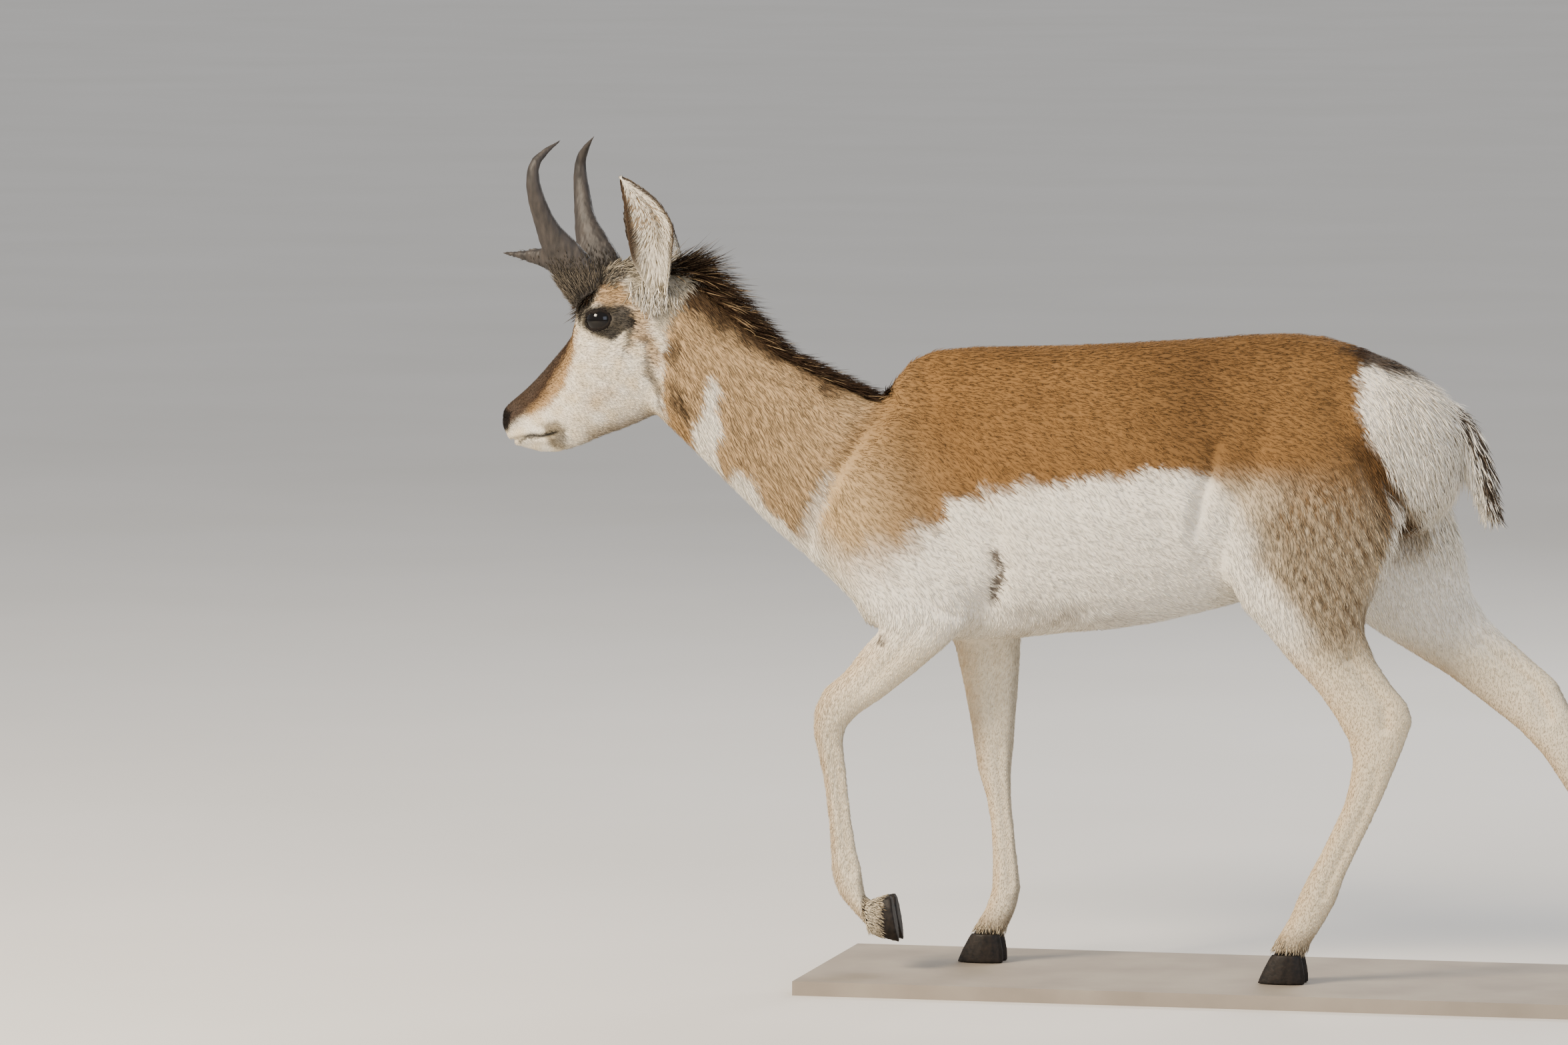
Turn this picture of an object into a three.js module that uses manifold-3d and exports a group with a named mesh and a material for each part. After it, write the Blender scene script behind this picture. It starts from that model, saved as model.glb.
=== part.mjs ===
// A life-size pronghorn buck in mid-stride on a plain base.
// Millimetres, +Z up. The animal faces -X and its left side is -Y. Z is 0 on top of the base
// until the whole is lifted onto its underside at the end.
import * as THREE from "three";
import { mergeVertices } from "three/addons/utils/BufferGeometryUtils.js";
import Module from "manifold-3d";

const wasm = await Module();
wasm.setup();

// Joint between touching pieces
const GAP = 0.3;

// Base
const BASE_LENGTH = 1270;
const BASE_WIDTH = 420;
const BASE_THICK = 20;
const BASE_CENTRE_X = 695;

// Head frame: where the nape turns, and how far the head looks to the animal's right
const NAPE = new THREE.Vector3(-170, 0, 890);
const HEAD_TURN = 9;

// Eyes, in the head frame
const EYE_RADIUS = 21;
const EYE_AT = { x: -81, y: 47, z: 18.5 };
const EYE_OPEN_LENGTH = 37;
const EYE_OPEN_HEIGHT = 27;
const EYE_TILT = 10;
const LID_THICK = 3.5;

// Hooves
const CLAW_HALF_WIDTH = 12.5;
const CLAW_SPREAD = 14.5;
const CLAW_HEIGHT = 41;

// Ear
const EAR_THICK = 4;
const EAR_WALL_AT_RIM = 1.6;

// Section rows run along a body part: [x and z of one edge, x and z of the opposite edge,
// half width, y of the middle plane, where the widest height lies between the edges (0 to 1)].

// Torso, chest to rump: the back line and the belly line
const TORSO = [
  [140, 790, 78, 568, 40, 0, 0.5],
  [168, 857, 105, 495, 62, 0, 0.5],
  [216, 878, 158, 465, 78, 0, 0.5],
  [305, 884, 288, 460, 98, 0, 0.48],
  [409, 887, 405, 473, 110, 0, 0.46],
  [505, 893, 505, 484, 114, 0, 0.46],
  [602, 900, 602, 506, 110, 0, 0.48],
  [698, 908, 690, 532, 98, 0, 0.52],
  [770, 905, 755, 566, 84, 0, 0.56],
  [843, 883, 828, 600, 78, 0, 0.58],
  [900, 853, 890, 625, 74, 0, 0.58],
  [942, 824, 938, 648, 62, 0, 0.56],
  [966, 790, 966, 690, 34, 0, 0.5],
];

// Neck, head end to chest: crest and throat
const NECK = [
  [-160, 975, -205, 800, 40, 0, 0.55],
  [-131, 988, -184, 768, 52, 0, 0.55],
  [-64, 924, -131, 717, 57, 0, 0.52],
  [4, 868, -73, 663, 64, 0, 0.5],
  [76, 832, -15, 609, 74, 0, 0.48],
  [131, 806, 36, 569, 80, 0, 0.46],
  [175, 830, 110, 502, 74, 0, 0.46],
];

// Head, nose to nape, in the head frame: bridge and chin
const HEAD = [
  [-252, -121, -251, -138, 9, 0, 0.5],
  [-247, -112, -246, -151, 19, 0, 0.5],
  [-236, -102, -236, -164, 24, 0, 0.5],
  [-222, -91, -222, -171, 25.5, 0, 0.5],
  [-203, -73, -203, -176, 27, 0, 0.46],
  [-182, -51, -182, -178, 28.5, 0, 0.48],
  [-162, -29, -162, -176, 31, 0, 0.52],
  [-144, -9, -144, -171, 36, 0, 0.6],
  [-132, 9, -132, -167, 43, 0, 0.7],
  [-124, 40, -122, -163, 51, 0, 0.74],
  [-112, 76, -106, -156, 58, 0, 0.72],
  [-88, 97, -84, -148, 62, 0, 0.66],
  [-55, 101, -55, -138, 59, 0, 0.62],
  [-25, 99, -25, -125, 54, 0, 0.58],
  [5, 98, 2, -112, 50, 0, 0.56],
  [34, 92, 30, -100, 44, 0, 0.55],
];

// Legs, top to coronet: front edge and rear edge. The y of the middle plane is for either side.
const FORELEG_LIFTED = [
  [128, 775, 232, 795, 26, 44],
  [66, 694, 236, 716, 42, 50],
  [68, 615, 276, 632, 46, 55],
  [88, 549, 302, 566, 45, 58],
  [135, 498, 284, 494, 39, 62],
  [152, 484, 250, 458, 33, 64],
  [130, 460, 207, 421, 29, 65],
  [101, 422, 159, 383, 26, 64],
  [72, 398, 123, 359, 24, 63],
  [57, 369, 106, 342, 23, 62],
  [55, 336, 101, 323, 22, 62],
  [62, 303, 103, 304, 19, 62],
  [70, 266, 107, 271, 16, 62],
  [77, 209, 113, 217, 15, 62],
  [80, 162, 121, 168, 17, 62],
  [82, 132, 130, 136, 20, 62],
  [92, 104, 138, 124, 20, 62],
  [113, 80, 152, 109, 21, 62],
  [143, 50, 171, 104, 24, 62],
];
const FORELEG_PLANTED = [
  [128, 775, 232, 795, 26, 44],
  [60, 690, 222, 708, 42, 50],
  [82, 608, 256, 620, 46, 55],
  [134, 539, 304, 554, 44, 58],
  [202, 489, 330, 488, 37, 60],
  [231, 451, 332, 456, 31, 60],
  [245, 390, 328, 392, 27, 60],
  [254, 343, 324, 345, 24, 60],
  [260, 306, 321, 304, 23, 60],
  [265, 273, 318, 274, 21, 60],
  [277, 235, 318, 236, 17, 60],
  [284, 193, 322, 194, 15, 60],
  [287, 146, 327, 147, 16.5, 60],
  [286, 105, 332, 106, 20, 60],
  [277, 78, 325, 75, 19.5, 60],
  [262, 51, 312, 47, 22, 60],
  [252, 34, 308, 31, 25, 60],
];
const HINDLEG_UNDER = [
  [662, 838, 800, 850, 34, 46],
  [638, 742, 858, 756, 48, 56],
  [617, 650, 898, 660, 50, 62],
  [636, 572, 878, 572, 44, 67],
  [665, 520, 850, 522, 38, 70],
  [701, 486, 846, 494, 32, 71],
  [734, 449, 860, 456, 27, 72],
  [773, 408, 881, 424, 24, 72],
  [797, 375, 906, 396, 22, 72],
  [816, 342, 914, 370, 21, 72],
  [823, 312, 900, 332, 20, 72],
  [819, 284, 883, 290, 18, 72],
  [811, 252, 868, 254, 17, 72],
  [797, 222, 852, 220, 16, 72],
  [781, 188, 833, 181, 16, 72],
  [763, 155, 818, 149, 17.5, 72],
  [747, 121, 807, 116, 20.5, 72],
  [737, 95, 788, 82, 19.5, 72],
  [720, 66, 770, 54, 22, 72],
  [708, 43, 764, 36, 25, 72],
];
const HINDLEG_BACK = [
  [650, 832, 800, 846, 34, 46],
  [632, 728, 876, 744, 48, 56],
  [650, 638, 938, 680, 50, 62],
  [711, 562, 966, 596, 44, 67],
  [788, 507, 975, 540, 38, 70],
  [836, 477, 995, 505, 33, 71],
  [884, 449, 1024, 476, 28, 72],
  [933, 420, 1058, 446, 25, 72],
  [981, 385, 1092, 418, 22, 72],
  [1031, 348, 1113, 378, 21, 72],
  [1068, 311, 1129, 340, 20, 72],
  [1097, 269, 1147, 294, 18, 72],
  [1118, 235, 1165, 256, 17, 72],
  [1143, 188, 1188, 205, 16, 72],
  [1162, 148, 1210, 159, 17.5, 72],
  [1171, 115, 1226, 117, 20.5, 72],
  [1166, 89, 1214, 83, 19.5, 72],
  [1153, 62, 1203, 54, 22, 72],
  [1144, 40, 1201, 35, 25, 72],
];

// Each leg: its rows, its side (-1 is left), the rows where its pieces meet, its foot
const LEGS = [
  { name: "foreleg_left", rows: FORELEG_LIFTED, side: -1, joints: [4, 10, 15], foot: [178, 76, 100] },
  { name: "foreleg_right", rows: FORELEG_PLANTED, side: 1, joints: [4, 8, 13], foot: [276, 0, 0] },
  { name: "hindleg_left", rows: HINDLEG_UNDER, side: -1, joints: [5, 9, 16], foot: [731, 0, 0] },
  { name: "hindleg_right", rows: HINDLEG_BACK, side: 1, joints: [5, 9, 15], foot: [1168, 0, 0] },
];
const LEG_PIECES = ["upper", "middle", "cannon", "pastern"];

// One claw of a cloven hoof, sole to coronet, from the middle of the sole
const CLAW = [
  [-35, 0, 31, 0, CLAW_HALF_WIDTH, 0],
  [-34, 4, 32, 4, CLAW_HALF_WIDTH + 0.5, 0],
  [-28, 18, 31, 18, CLAW_HALF_WIDTH, 0],
  [-20, 33, 28, 33, CLAW_HALF_WIDTH - 1, 0],
  [-15, CLAW_HEIGHT, 26, CLAW_HEIGHT, CLAW_HALF_WIDTH - 2, 0],
];

// Tail, root to tip: outer and inner edge
const TAIL = [
  [928, 820, 905, 780, 16, 0],
  [958, 822, 935, 774, 18, 0],
  [986, 792, 955, 752, 19, 0],
  [1002, 735, 968, 722, 18, 0],
  [1014, 690, 982, 685, 14, 0],
  [1016, 660, 998, 658, 6, 0],
];

// Horn sheath of the left side in the head frame: x, z, fore-and-aft depth, half thickness, y
const HORN_SHAFT = [
  [-92, 30, 48, 11, -36],
  [-107, 62, 62, 14, -44],
  [-124, 92, 64, 14.5, -50],
  [-142, 124, 50, 13, -61],
  [-155, 152, 34, 11, -70],
  [-165, 190, 26, 9.5, -82],
  [-169, 226, 19, 7.5, -85],
  [-160, 249, 14, 6, -79],
  [-135, 272, 3, 1.5, -59],
];
const HORN_PRONG = [
  [-138, 100, 40, 11, -56],
  [-162, 104, 30, 9.5, -55],
  [-186, 106, 19, 7, -52],
  [-212, 107, 10, 4.5, -48],
  [-234, 109, 3, 1.5, -44],
];

// Ears in the head frame: root, tip and the way the cup looks
const EARS = [
  { name: "ear_left", root: [10, -46, 58], tip: [-20, -92, 220], cup: [-0.2, -0.97, 0.1] },
  { name: "ear_right", root: [0, 46, 58], tip: [-74, 64, 196], cup: [-0.75, 0.66, 0.1] },
];

const skinTan = new THREE.MeshStandardMaterial({ color: 0xa9763f, roughness: 0.9 });
const skinWhite = new THREE.MeshStandardMaterial({ color: 0xe6dcc8, roughness: 0.9 });
const skinFace = new THREE.MeshStandardMaterial({ color: 0x9a7048, roughness: 0.85 });
const earCoat = new THREE.MeshStandardMaterial({ color: 0x8c7a66, roughness: 0.9 });
const hornSheath = new THREE.MeshStandardMaterial({ color: 0x2b2724, roughness: 0.55 });
const hoofHorn = new THREE.MeshStandardMaterial({ color: 0x17130f, roughness: 0.45 });
const eyeBall = new THREE.MeshStandardMaterial({ color: 0x0b0806, roughness: 0.08 });
const baseBoard = new THREE.MeshStandardMaterial({ color: 0x8d8478, roughness: 0.7 });

const model = new THREE.Group();
const bodyGroup = new THREE.Group();
const headGroup = new THREE.Group();
headGroup.position.copy(NAPE);
headGroup.rotation.z = THREE.MathUtils.degToRad(-HEAD_TURN);
headGroup.updateMatrix();
const bodyToHead = headGroup.matrix.clone().invert();
bodyGroup.add(headGroup);
model.add(bodyGroup);

// A closed geometry as a solid, turned the right way round
function solid(geometry, matrix = new THREE.Matrix4()) {
  const bare = geometry.clone().applyMatrix4(matrix);
  bare.deleteAttribute("normal");
  bare.deleteAttribute("uv");
  const merged = mergeVertices(bare, 1e-4);
  const triVerts = new Uint32Array(merged.index.array);
  const vertProperties = new Float32Array(merged.attributes.position.array);
  const made = new wasm.Manifold(new wasm.Mesh({ numProp: 3, vertProperties, triVerts }));
  if (made.volume() > 0) return made;
  for (let i = 0; i < triVerts.length; i += 3) {
    [triVerts[i + 1], triVerts[i + 2]] = [triVerts[i + 2], triVerts[i + 1]];
  }
  return new wasm.Manifold(new wasm.Mesh({ numProp: 3, vertProperties, triVerts }));
}

// The largest closed surface of a solid
function largest(shape) {
  return shape.decompose().reduce((a, b) => (a.volume() >= b.volume() ? a : b));
}

// A named node from a solid
function addNode(parent, name, shape, material) {
  const { vertProperties, triVerts } = largest(shape).getMesh();
  const geometry = new THREE.BufferGeometry();
  geometry.setAttribute("position", new THREE.BufferAttribute(vertProperties, 3));
  geometry.setIndex(new THREE.BufferAttribute(triVerts, 1));
  geometry.computeVertexNormals();
  const mesh = new THREE.Mesh(geometry, material);
  mesh.name = name;
  parent.add(mesh);
  return mesh;
}

const signedPower = (value, power) => Math.sign(value) * Math.abs(value) ** power;

// A closed body through section rows. from and to are row numbers; sharp bends the sections
// towards the first edge, keel towards the second; grow swells the whole body.
function loft(rows, options = {}) {
  const last = rows.length - 1;
  const { around = 16, perRow = 1.6, from = 0, to = last, side = 1, grow = 0 } = options;
  const { sharp = 1, keel = 1 } = options;
  const along = (pick) => new THREE.CatmullRomCurve3(rows.map(pick), false, "catmullrom");
  const firstEdge = along((r) => new THREE.Vector3(r[0], side * r[5], r[1]));
  const secondEdge = along((r) => new THREE.Vector3(r[2], side * r[5], r[3]));
  const girth = along((r) => new THREE.Vector3(r[4], r[6] ?? 0.5, 0));
  const rings = Math.max(1, Math.round((to - from) * perRow));
  const geometry = new THREE.CylinderGeometry(1, 1, 1, around, rings);
  const place = geometry.attributes.position;
  const middle = (t) => firstEdge.getPoint(t).lerp(secondEdge.getPoint(t), 0.5);
  const step = 1e-3;
  const speed = (t) => middle(Math.min(1, t + step)).sub(middle(Math.max(0, t - step)));
  for (let i = 0; i < place.count; i++) {
    const u = THREE.MathUtils.clamp(0.5 - place.getY(i), 0, 1);
    const t = (from + u * (to - from)) / last;
    const a = firstEdge.getPoint(t);
    const b = secondEdge.getPoint(t);
    const { x: halfWidth, y: widest } = girth.getPoint(t);
    const outward = a.clone().sub(b).normalize();
    a.addScaledVector(outward, grow);
    b.addScaledVector(outward, -grow);
    const centre = b.clone().lerp(a, widest);
    const cos = place.getX(i);
    const sin = place.getZ(i);
    const reach = Math.hypot(cos, sin);
    const edge = sin > 0 ? a : b;
    const point = centre.clone().lerp(edge, Math.abs(sin));
    point.y += (halfWidth + grow) * signedPower(cos, sin > 0 ? sharp : keel);
    const end = u === 0 ? -1 : u === 1 ? 1 : 0;
    const shift = grow > 0 ? grow : -GAP / 2;
    point.addScaledVector(speed(t).normalize(), end * shift);
    if (reach < 0.5) point.copy(centre).addScaledVector(speed(t).normalize(), end * shift);
    place.setXYZ(i, point.x, point.y, point.z);
  }
  return geometry;
}

// Rows for a round member along a path: each point is x, z, depth, half width, y
function memberRows(points) {
  return points.map(([x, z, depth, halfWidth, y], i) => {
    const before = points[Math.max(0, i - 1)];
    const after = points[Math.min(points.length - 1, i + 1)];
    const run = new THREE.Vector2(after[0] - before[0], after[1] - before[1]).normalize();
    const dx = (-run.y * depth) / 2;
    const dz = (run.x * depth) / 2;
    return [x + dx, z + dz, x - dx, z - dz, halfWidth, y];
  });
}

// All of space beyond a plane, as a large block
function beyond(point, direction, clear = 0) {
  const size = 1800;
  const block = new THREE.Object3D();
  block.quaternion.setFromUnitVectors(new THREE.Vector3(0, 0, 1), direction);
  block.position.copy(point).addScaledVector(direction, size / 2 + clear);
  block.updateMatrix();
  return solid(new THREE.BoxGeometry(size, size, size), block.matrix);
}

// The plane through the two edges of a section row, looking towards the head
function rowPlane(row) {
  const first = new THREE.Vector3(row[0], 0, row[1]);
  const second = new THREE.Vector3(row[2], 0, row[3]);
  const direction = second.clone().sub(first).cross(new THREE.Vector3(0, 1, 0)).normalize();
  return { point: first, direction: direction.x > 0 ? direction.negate() : direction };
}

// Torso and neck, parted at the withers and at the nape
const torsoBody = solid(loft(TORSO, { around: 26, perRow: 1.5 }));
const neckBody = solid(loft(NECK, { around: 24, perRow: 1.8 }));
const headBody = solid(loft(HEAD, { around: 28, perRow: 1.5, keel: 1.3 }));
const headInBody = solid(loft(HEAD, { around: 28, perRow: 1.5, keel: 1.3 }), headGroup.matrix);
const skullAndGap = solid(loft(HEAD, { around: 28, perRow: 1.5, keel: 1.3, grow: GAP }));
const withers = rowPlane(NECK[5]);
const nape = rowPlane(NECK[1]);
const trunk = torsoBody.add(neckBody);
const trunkAndGap = solid(loft(TORSO, { around: 26, perRow: 1.5, grow: GAP })).add(
  solid(loft(NECK, { around: 24, perRow: 1.8, grow: GAP })),
);
const behindNape = beyond(nape.point, nape.direction, -GAP);
const aheadOfWithers = beyond(withers.point, withers.direction, 0);
const aheadOfWithersAndGap = beyond(withers.point, withers.direction, GAP);

function addTorso() {
  addNode(bodyGroup, "torso", trunk.subtract(aheadOfWithers), skinTan);
}

// Even draws between two values, the same on every run
let drawState = 20117;
function draw(low, high) {
  drawState = (drawState * 16807) % 2147483647;
  return low + ((high - low) * drawState) / 2147483647;
}

// A lock of hair: a flat blade that tapers to its tip and bends towards the end
function lock(root, run, length, { flat, halfWidth, halfThick, bend }) {
  const blade = new THREE.CylinderGeometry(1, 1, 1, 5, 3);
  const wide = flat.clone().addScaledVector(run, -flat.dot(run)).normalize();
  const thin = new THREE.Vector3().crossVectors(run, wide);
  const place = blade.attributes.position;
  for (let i = 0; i < place.count; i++) {
    const u = THREE.MathUtils.clamp(0.5 - place.getY(i), 0, 1);
    const taper = Math.max(0.1, Math.sin(Math.PI * (0.3 + 0.7 * u)));
    const point = root.clone().addScaledVector(run, u * length);
    point.addScaledVector(bend, u * u * length);
    point.addScaledVector(wide, place.getX(i) * halfWidth * taper);
    point.addScaledVector(thin, place.getZ(i) * Math.max(0.35, halfThick * taper));
    place.setXYZ(i, point.x, point.y, point.z);
  }
  return solid(blade);
}

// Mane: locks in rows along the crest, swept back, longest behind the ears
const MANE_STEPS = 10;
const MANE_ROWS = [-1, -0.45, 0, 0.45, 1];
const MANE_HALF_BREADTH = 24;
const MANE_LENGTH_NAPE = 84;
const MANE_LENGTH_WITHERS = 58;
const MANE_LIFT = 40;
const LOCK_SUNK = 12;

function maneLocks() {
  const crest = new THREE.CatmullRomCurve3(
    NECK.slice(1, 6).map(([x, z]) => new THREE.Vector3(x, 0, z)),
    false,
    "catmullrom",
  );
  let mane = null;
  for (let i = 0; i < MANE_STEPS; i++) {
    MANE_ROWS.forEach((row, k) => {
      const t = (i + 0.5 + (k % 2) * 0.5 + draw(-0.15, 0.15)) / (MANE_STEPS + 0.5);
      const breadth = MANE_HALF_BREADTH * (1 - 0.45 * t);
      const run = crest.getTangent(t);
      const lift = THREE.MathUtils.degToRad(MANE_LIFT * (1 - 0.5 * t) - 10 * Math.abs(row) + draw(-7, 7));
      run.applyAxisAngle(new THREE.Vector3(0, 1, 0), -lift);
      run.y = row * 0.16 + draw(-0.06, 0.06);
      run.normalize();
      const root = crest.getPoint(t);
      root.y = row * breadth;
      root.z -= 7 * row * row;
      root.addScaledVector(run, -LOCK_SUNK);
      const reach = THREE.MathUtils.lerp(MANE_LENGTH_NAPE, MANE_LENGTH_WITHERS, t) * draw(0.82, 1.08);
      const shape = lock(root, run, reach, {
        flat: new THREE.Vector3(draw(-0.4, 0.4), 1, draw(0.2, 0.9)),
        halfWidth: draw(6.5, 8.5),
        halfThick: 2,
        bend: new THREE.Vector3(0.06, 0, -0.1),
      });
      mane = mane ? mane.add(shape) : shape;
    });
  }
  return mane;
}

function addNeck() {
  const whole = trunk.add(headInBody).add(maneLocks()).intersect(aheadOfWithersAndGap);
  addNode(bodyGroup, "neck", whole.subtract(behindNape), skinTan);
}

// Head
const eyePlace = (side) => new THREE.Vector3(EYE_AT.x, side * EYE_AT.y, EYE_AT.z);

function ball(radius, centre, stretch = [1, 1, 1], across = 18) {
  const placed = new THREE.Matrix4().makeTranslation(centre.x, centre.y, centre.z);
  placed.scale(new THREE.Vector3(...stretch));
  return solid(new THREE.SphereGeometry(radius, across, Math.round(across * 0.6)), placed);
}

// The almond between the lids, as a short block pointing out of the head
function lidOpening(side) {
  const half = EYE_OPEN_LENGTH / 2;
  const rise = EYE_OPEN_HEIGHT * 0.62;
  const almond = new THREE.Shape();
  almond.moveTo(-half, 0);
  almond.quadraticCurveTo(-half * 0.2, rise * 1.7, half, 0);
  almond.quadraticCurveTo(half * 0.1, -rise * 1.35, -half, 0);
  const depth = 60;
  const block = new THREE.ExtrudeGeometry(almond, { depth, bevelEnabled: false, curveSegments: 8 });
  const frame = new THREE.Object3D();
  frame.rotation.set(Math.PI / 2, THREE.MathUtils.degToRad(EYE_TILT), 0, "YXZ");
  frame.position.copy(eyePlace(side));
  if (side > 0) frame.position.y += depth;
  frame.updateMatrix();
  return solid(block, frame.matrix);
}

// The line of the mouth: a thin curved ribbon that enters only the lips
const MOUTH_OPEN = 1.8;
const LIP_DEPTH = 6;
const MOUTH_LINE = [
  [-262, -164],
  [-238, -161],
  [-220, -156],
  [-203, -152],
  [-184, -153],
  [-160, -146],
];

function mouthCut() {
  const ribbon = memberRows(MOUTH_LINE.map(([x, z]) => [x, z, MOUTH_OPEN, 60, 0]));
  const lips = solid(loft(ribbon, { around: 8 }));
  return lips.subtract(solid(loft(HEAD, { around: 32, grow: -LIP_DEPTH })));
}

// Tufts on the head: dark hair standing off the forehead and pale hair on the crown
const FOREHEAD_TUFTS = 8;
const CROWN_TUFTS = 7;

function headTufts() {
  let tufts = null;
  const plant = (root, run, length) => {
    const shape = lock(root, run.normalize(), length, {
      flat: new THREE.Vector3(0, 1, draw(-0.5, 0.5)),
      halfWidth: draw(5, 7),
      halfThick: 1.8,
      bend: new THREE.Vector3(0, 0, -0.12),
    });
    tufts = tufts ? tufts.add(shape) : shape;
  };
  for (let i = 0; i < FOREHEAD_TUFTS; i++) {
    const side = (i % 3) - 1;
    const height = THREE.MathUtils.lerp(22, 70, i / (FOREHEAD_TUFTS - 1));
    const root = new THREE.Vector3(-112 - (70 - height) * 0.12, side * 17 + draw(-3, 3), height);
    plant(root, new THREE.Vector3(-1, side * 0.3, draw(-0.5, 0.1)), draw(26, 34));
  }
  for (let i = 0; i < CROWN_TUFTS; i++) {
    const side = (i % 3) - 1;
    const x = THREE.MathUtils.lerp(-74, -18, i / (CROWN_TUFTS - 1));
    const root = new THREE.Vector3(x, side * 17 + draw(-3, 3), 90 - 6 * Math.abs(side));
    plant(root, new THREE.Vector3(0.9, side * 0.4, draw(0.5, 0.9)), draw(30, 38));
  }
  return tufts;
}

function addHead() {
  const neckInHead = solid(loft(NECK, { around: 24, perRow: 1.8 }), bodyToHead);
  let head = headBody.add(neckInHead).add(headTufts().subtract(hornsAndGap));
  for (const side of [-1, 1]) {
    head = head.add(ball(EYE_RADIUS + GAP + LID_THICK, eyePlace(side)));
  }
  const point = nape.point.clone().applyMatrix4(bodyToHead);
  const direction = nape.direction.clone().transformDirection(bodyToHead);
  head = head.intersect(beyond(point, direction));
  for (const side of [-1, 1]) {
    head = head.subtract(ball(EYE_RADIUS + GAP, eyePlace(side)));
    head = head.subtract(lidOpening(side));
    const nostril = new THREE.Vector3(-244, side * 15, -128);
    head = head.subtract(ball(5, nostril, [1.5, 0.9, 0.8], 10));
    addNode(headGroup, side < 0 ? "eye_left" : "eye_right", ball(EYE_RADIUS, eyePlace(side)), eyeBall);
  }
  addNode(headGroup, "head", head.subtract(mouthCut()), skinFace);
}

// A horn: the upright sheath, flat from side to side, and its forward prong
function hornBody(side, grow = 0) {
  const shaft = solid(loft(memberRows(HORN_SHAFT), { around: 12, side: -side, grow }));
  const prong = solid(loft(memberRows(HORN_PRONG), { around: 10, side: -side, grow }));
  return shaft.add(prong);
}
const hornsAndGap = hornBody(-1, GAP).add(hornBody(1, GAP));

function addHorn(name, side) {
  addNode(headGroup, name, hornBody(side).subtract(skullAndGap), hornSheath);
}

// An ear: a leaf rolled into a cup, open at one side and nearly closed at its root
function addEar({ name, root, tip, cup }) {
  const from = new THREE.Vector3(...root);
  const axis = new THREE.Vector3(...tip).sub(from);
  const length = axis.length();
  axis.normalize();
  const open = new THREE.Vector3(...cup);
  open.addScaledVector(axis, -open.dot(axis)).normalize();
  const across = new THREE.Vector3().crossVectors(axis, open);
  const leafWidth = (u) => 3 + 42 * Math.sin(Math.PI * Math.min(1, 0.16 + u * 0.84) ** 0.86) ** 0.9;
  const rollAngle = (u) => THREE.MathUtils.lerp(2.5, 0.75, Math.min(1, u * 1.7));
  const leaf = new THREE.BoxGeometry(2, 1, 1, 10, 1, 9);
  const place = leaf.attributes.position;
  for (let i = 0; i < place.count; i++) {
    const v = place.getX(i);
    const u = place.getZ(i) + 0.5;
    const roll = rollAngle(u);
    const radius = leafWidth(u) / roll;
    const wall = THREE.MathUtils.lerp(EAR_THICK, EAR_WALL_AT_RIM, Math.max(v * v, u ** 3));
    const offset = radius + (place.getY(i) > 0 ? wall / 2 : -wall / 2);
    const point = from.clone().addScaledVector(axis, u * length);
    point.addScaledVector(across, offset * Math.sin(v * roll));
    point.addScaledVector(open, radius * 0.6 - offset * Math.cos(v * roll));
    place.setXYZ(i, point.x, point.y, point.z);
  }
  const neckInHead = solid(loft(NECK, { around: 24, perRow: 1.8, grow: GAP }), bodyToHead);
  addNode(headGroup, name, solid(leaf).subtract(skullAndGap).subtract(neckInHead), earCoat);
}

// Legs
function addLeg({ name, rows, side, joints, foot }) {
  const [footX, footZ, footTurn] = foot;
  const footGroup = new THREE.Group();
  footGroup.position.set(footX, side * rows.at(-1)[5], footZ + GAP);
  footGroup.rotation.y = THREE.MathUtils.degToRad(-footTurn);
  footGroup.updateMatrix();
  bodyGroup.add(footGroup);
  const coronet = new THREE.Vector3(0, 0, CLAW_HEIGHT + GAP).applyMatrix4(footGroup.matrix);
  const down = new THREE.Vector3(0, 0, -1).transformDirection(footGroup.matrix);
  const ends = [0, ...joints, rows.length - 1];
  LEG_PIECES.forEach((piece, i) => {
    const [from, to] = [ends[i], ends[i + 1]];
    let shape = solid(loft(rows, { around: i < 2 ? 14 : 12, perRow: 1, from, to, side }));
    if (i < 2) shape = shape.subtract(trunkAndGap);
    if (i === 3) shape = shape.subtract(beyond(coronet, down));
    addNode(bodyGroup, name + "_" + piece, shape, i === 0 ? skinTan : skinWhite);
  });
  for (const claw of [-1, 1]) {
    const shape = solid(loft(CLAW, { around: 12, sharp: 1.4, keel: 0.9 }));
    const mesh = addNode(footGroup, name + (claw < 0 ? "_claw_a" : "_claw_b"), shape, hoofHorn);
    mesh.position.y = claw * CLAW_SPREAD;
  }
}

// Tail: a short dock under locks that hang past its end
const TAIL_LOCKS = 12;

function addTail() {
  const dock = new THREE.CatmullRomCurve3(TAIL.map((r) => new THREE.Vector3((r[0] + r[2]) / 2, 0, (r[1] + r[3]) / 2)));
  let tail = solid(loft(TAIL, { around: 12 }));
  for (let i = 0; i < TAIL_LOCKS; i++) {
    const t = THREE.MathUtils.lerp(0.3, 0.92, i / (TAIL_LOCKS - 1));
    const turn = i * 2.4;
    const run = dock.getTangent(t).add(new THREE.Vector3(0.3 * Math.cos(turn), 0.3 * Math.sin(turn), 0));
    const root = dock.getPoint(t).add(new THREE.Vector3(9 * Math.cos(turn), 9 * Math.sin(turn), 0));
    const shape = lock(root, run.normalize(), draw(44, 56) * (1 - 0.25 * t), {
      flat: new THREE.Vector3(-Math.sin(turn), Math.cos(turn), 0),
      halfWidth: draw(6, 8),
      halfThick: 2.2,
      bend: new THREE.Vector3(0, 0, -0.15),
    });
    tail = tail.add(shape);
  }
  addNode(bodyGroup, "tail", tail.subtract(trunkAndGap), skinWhite);
}

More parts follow.
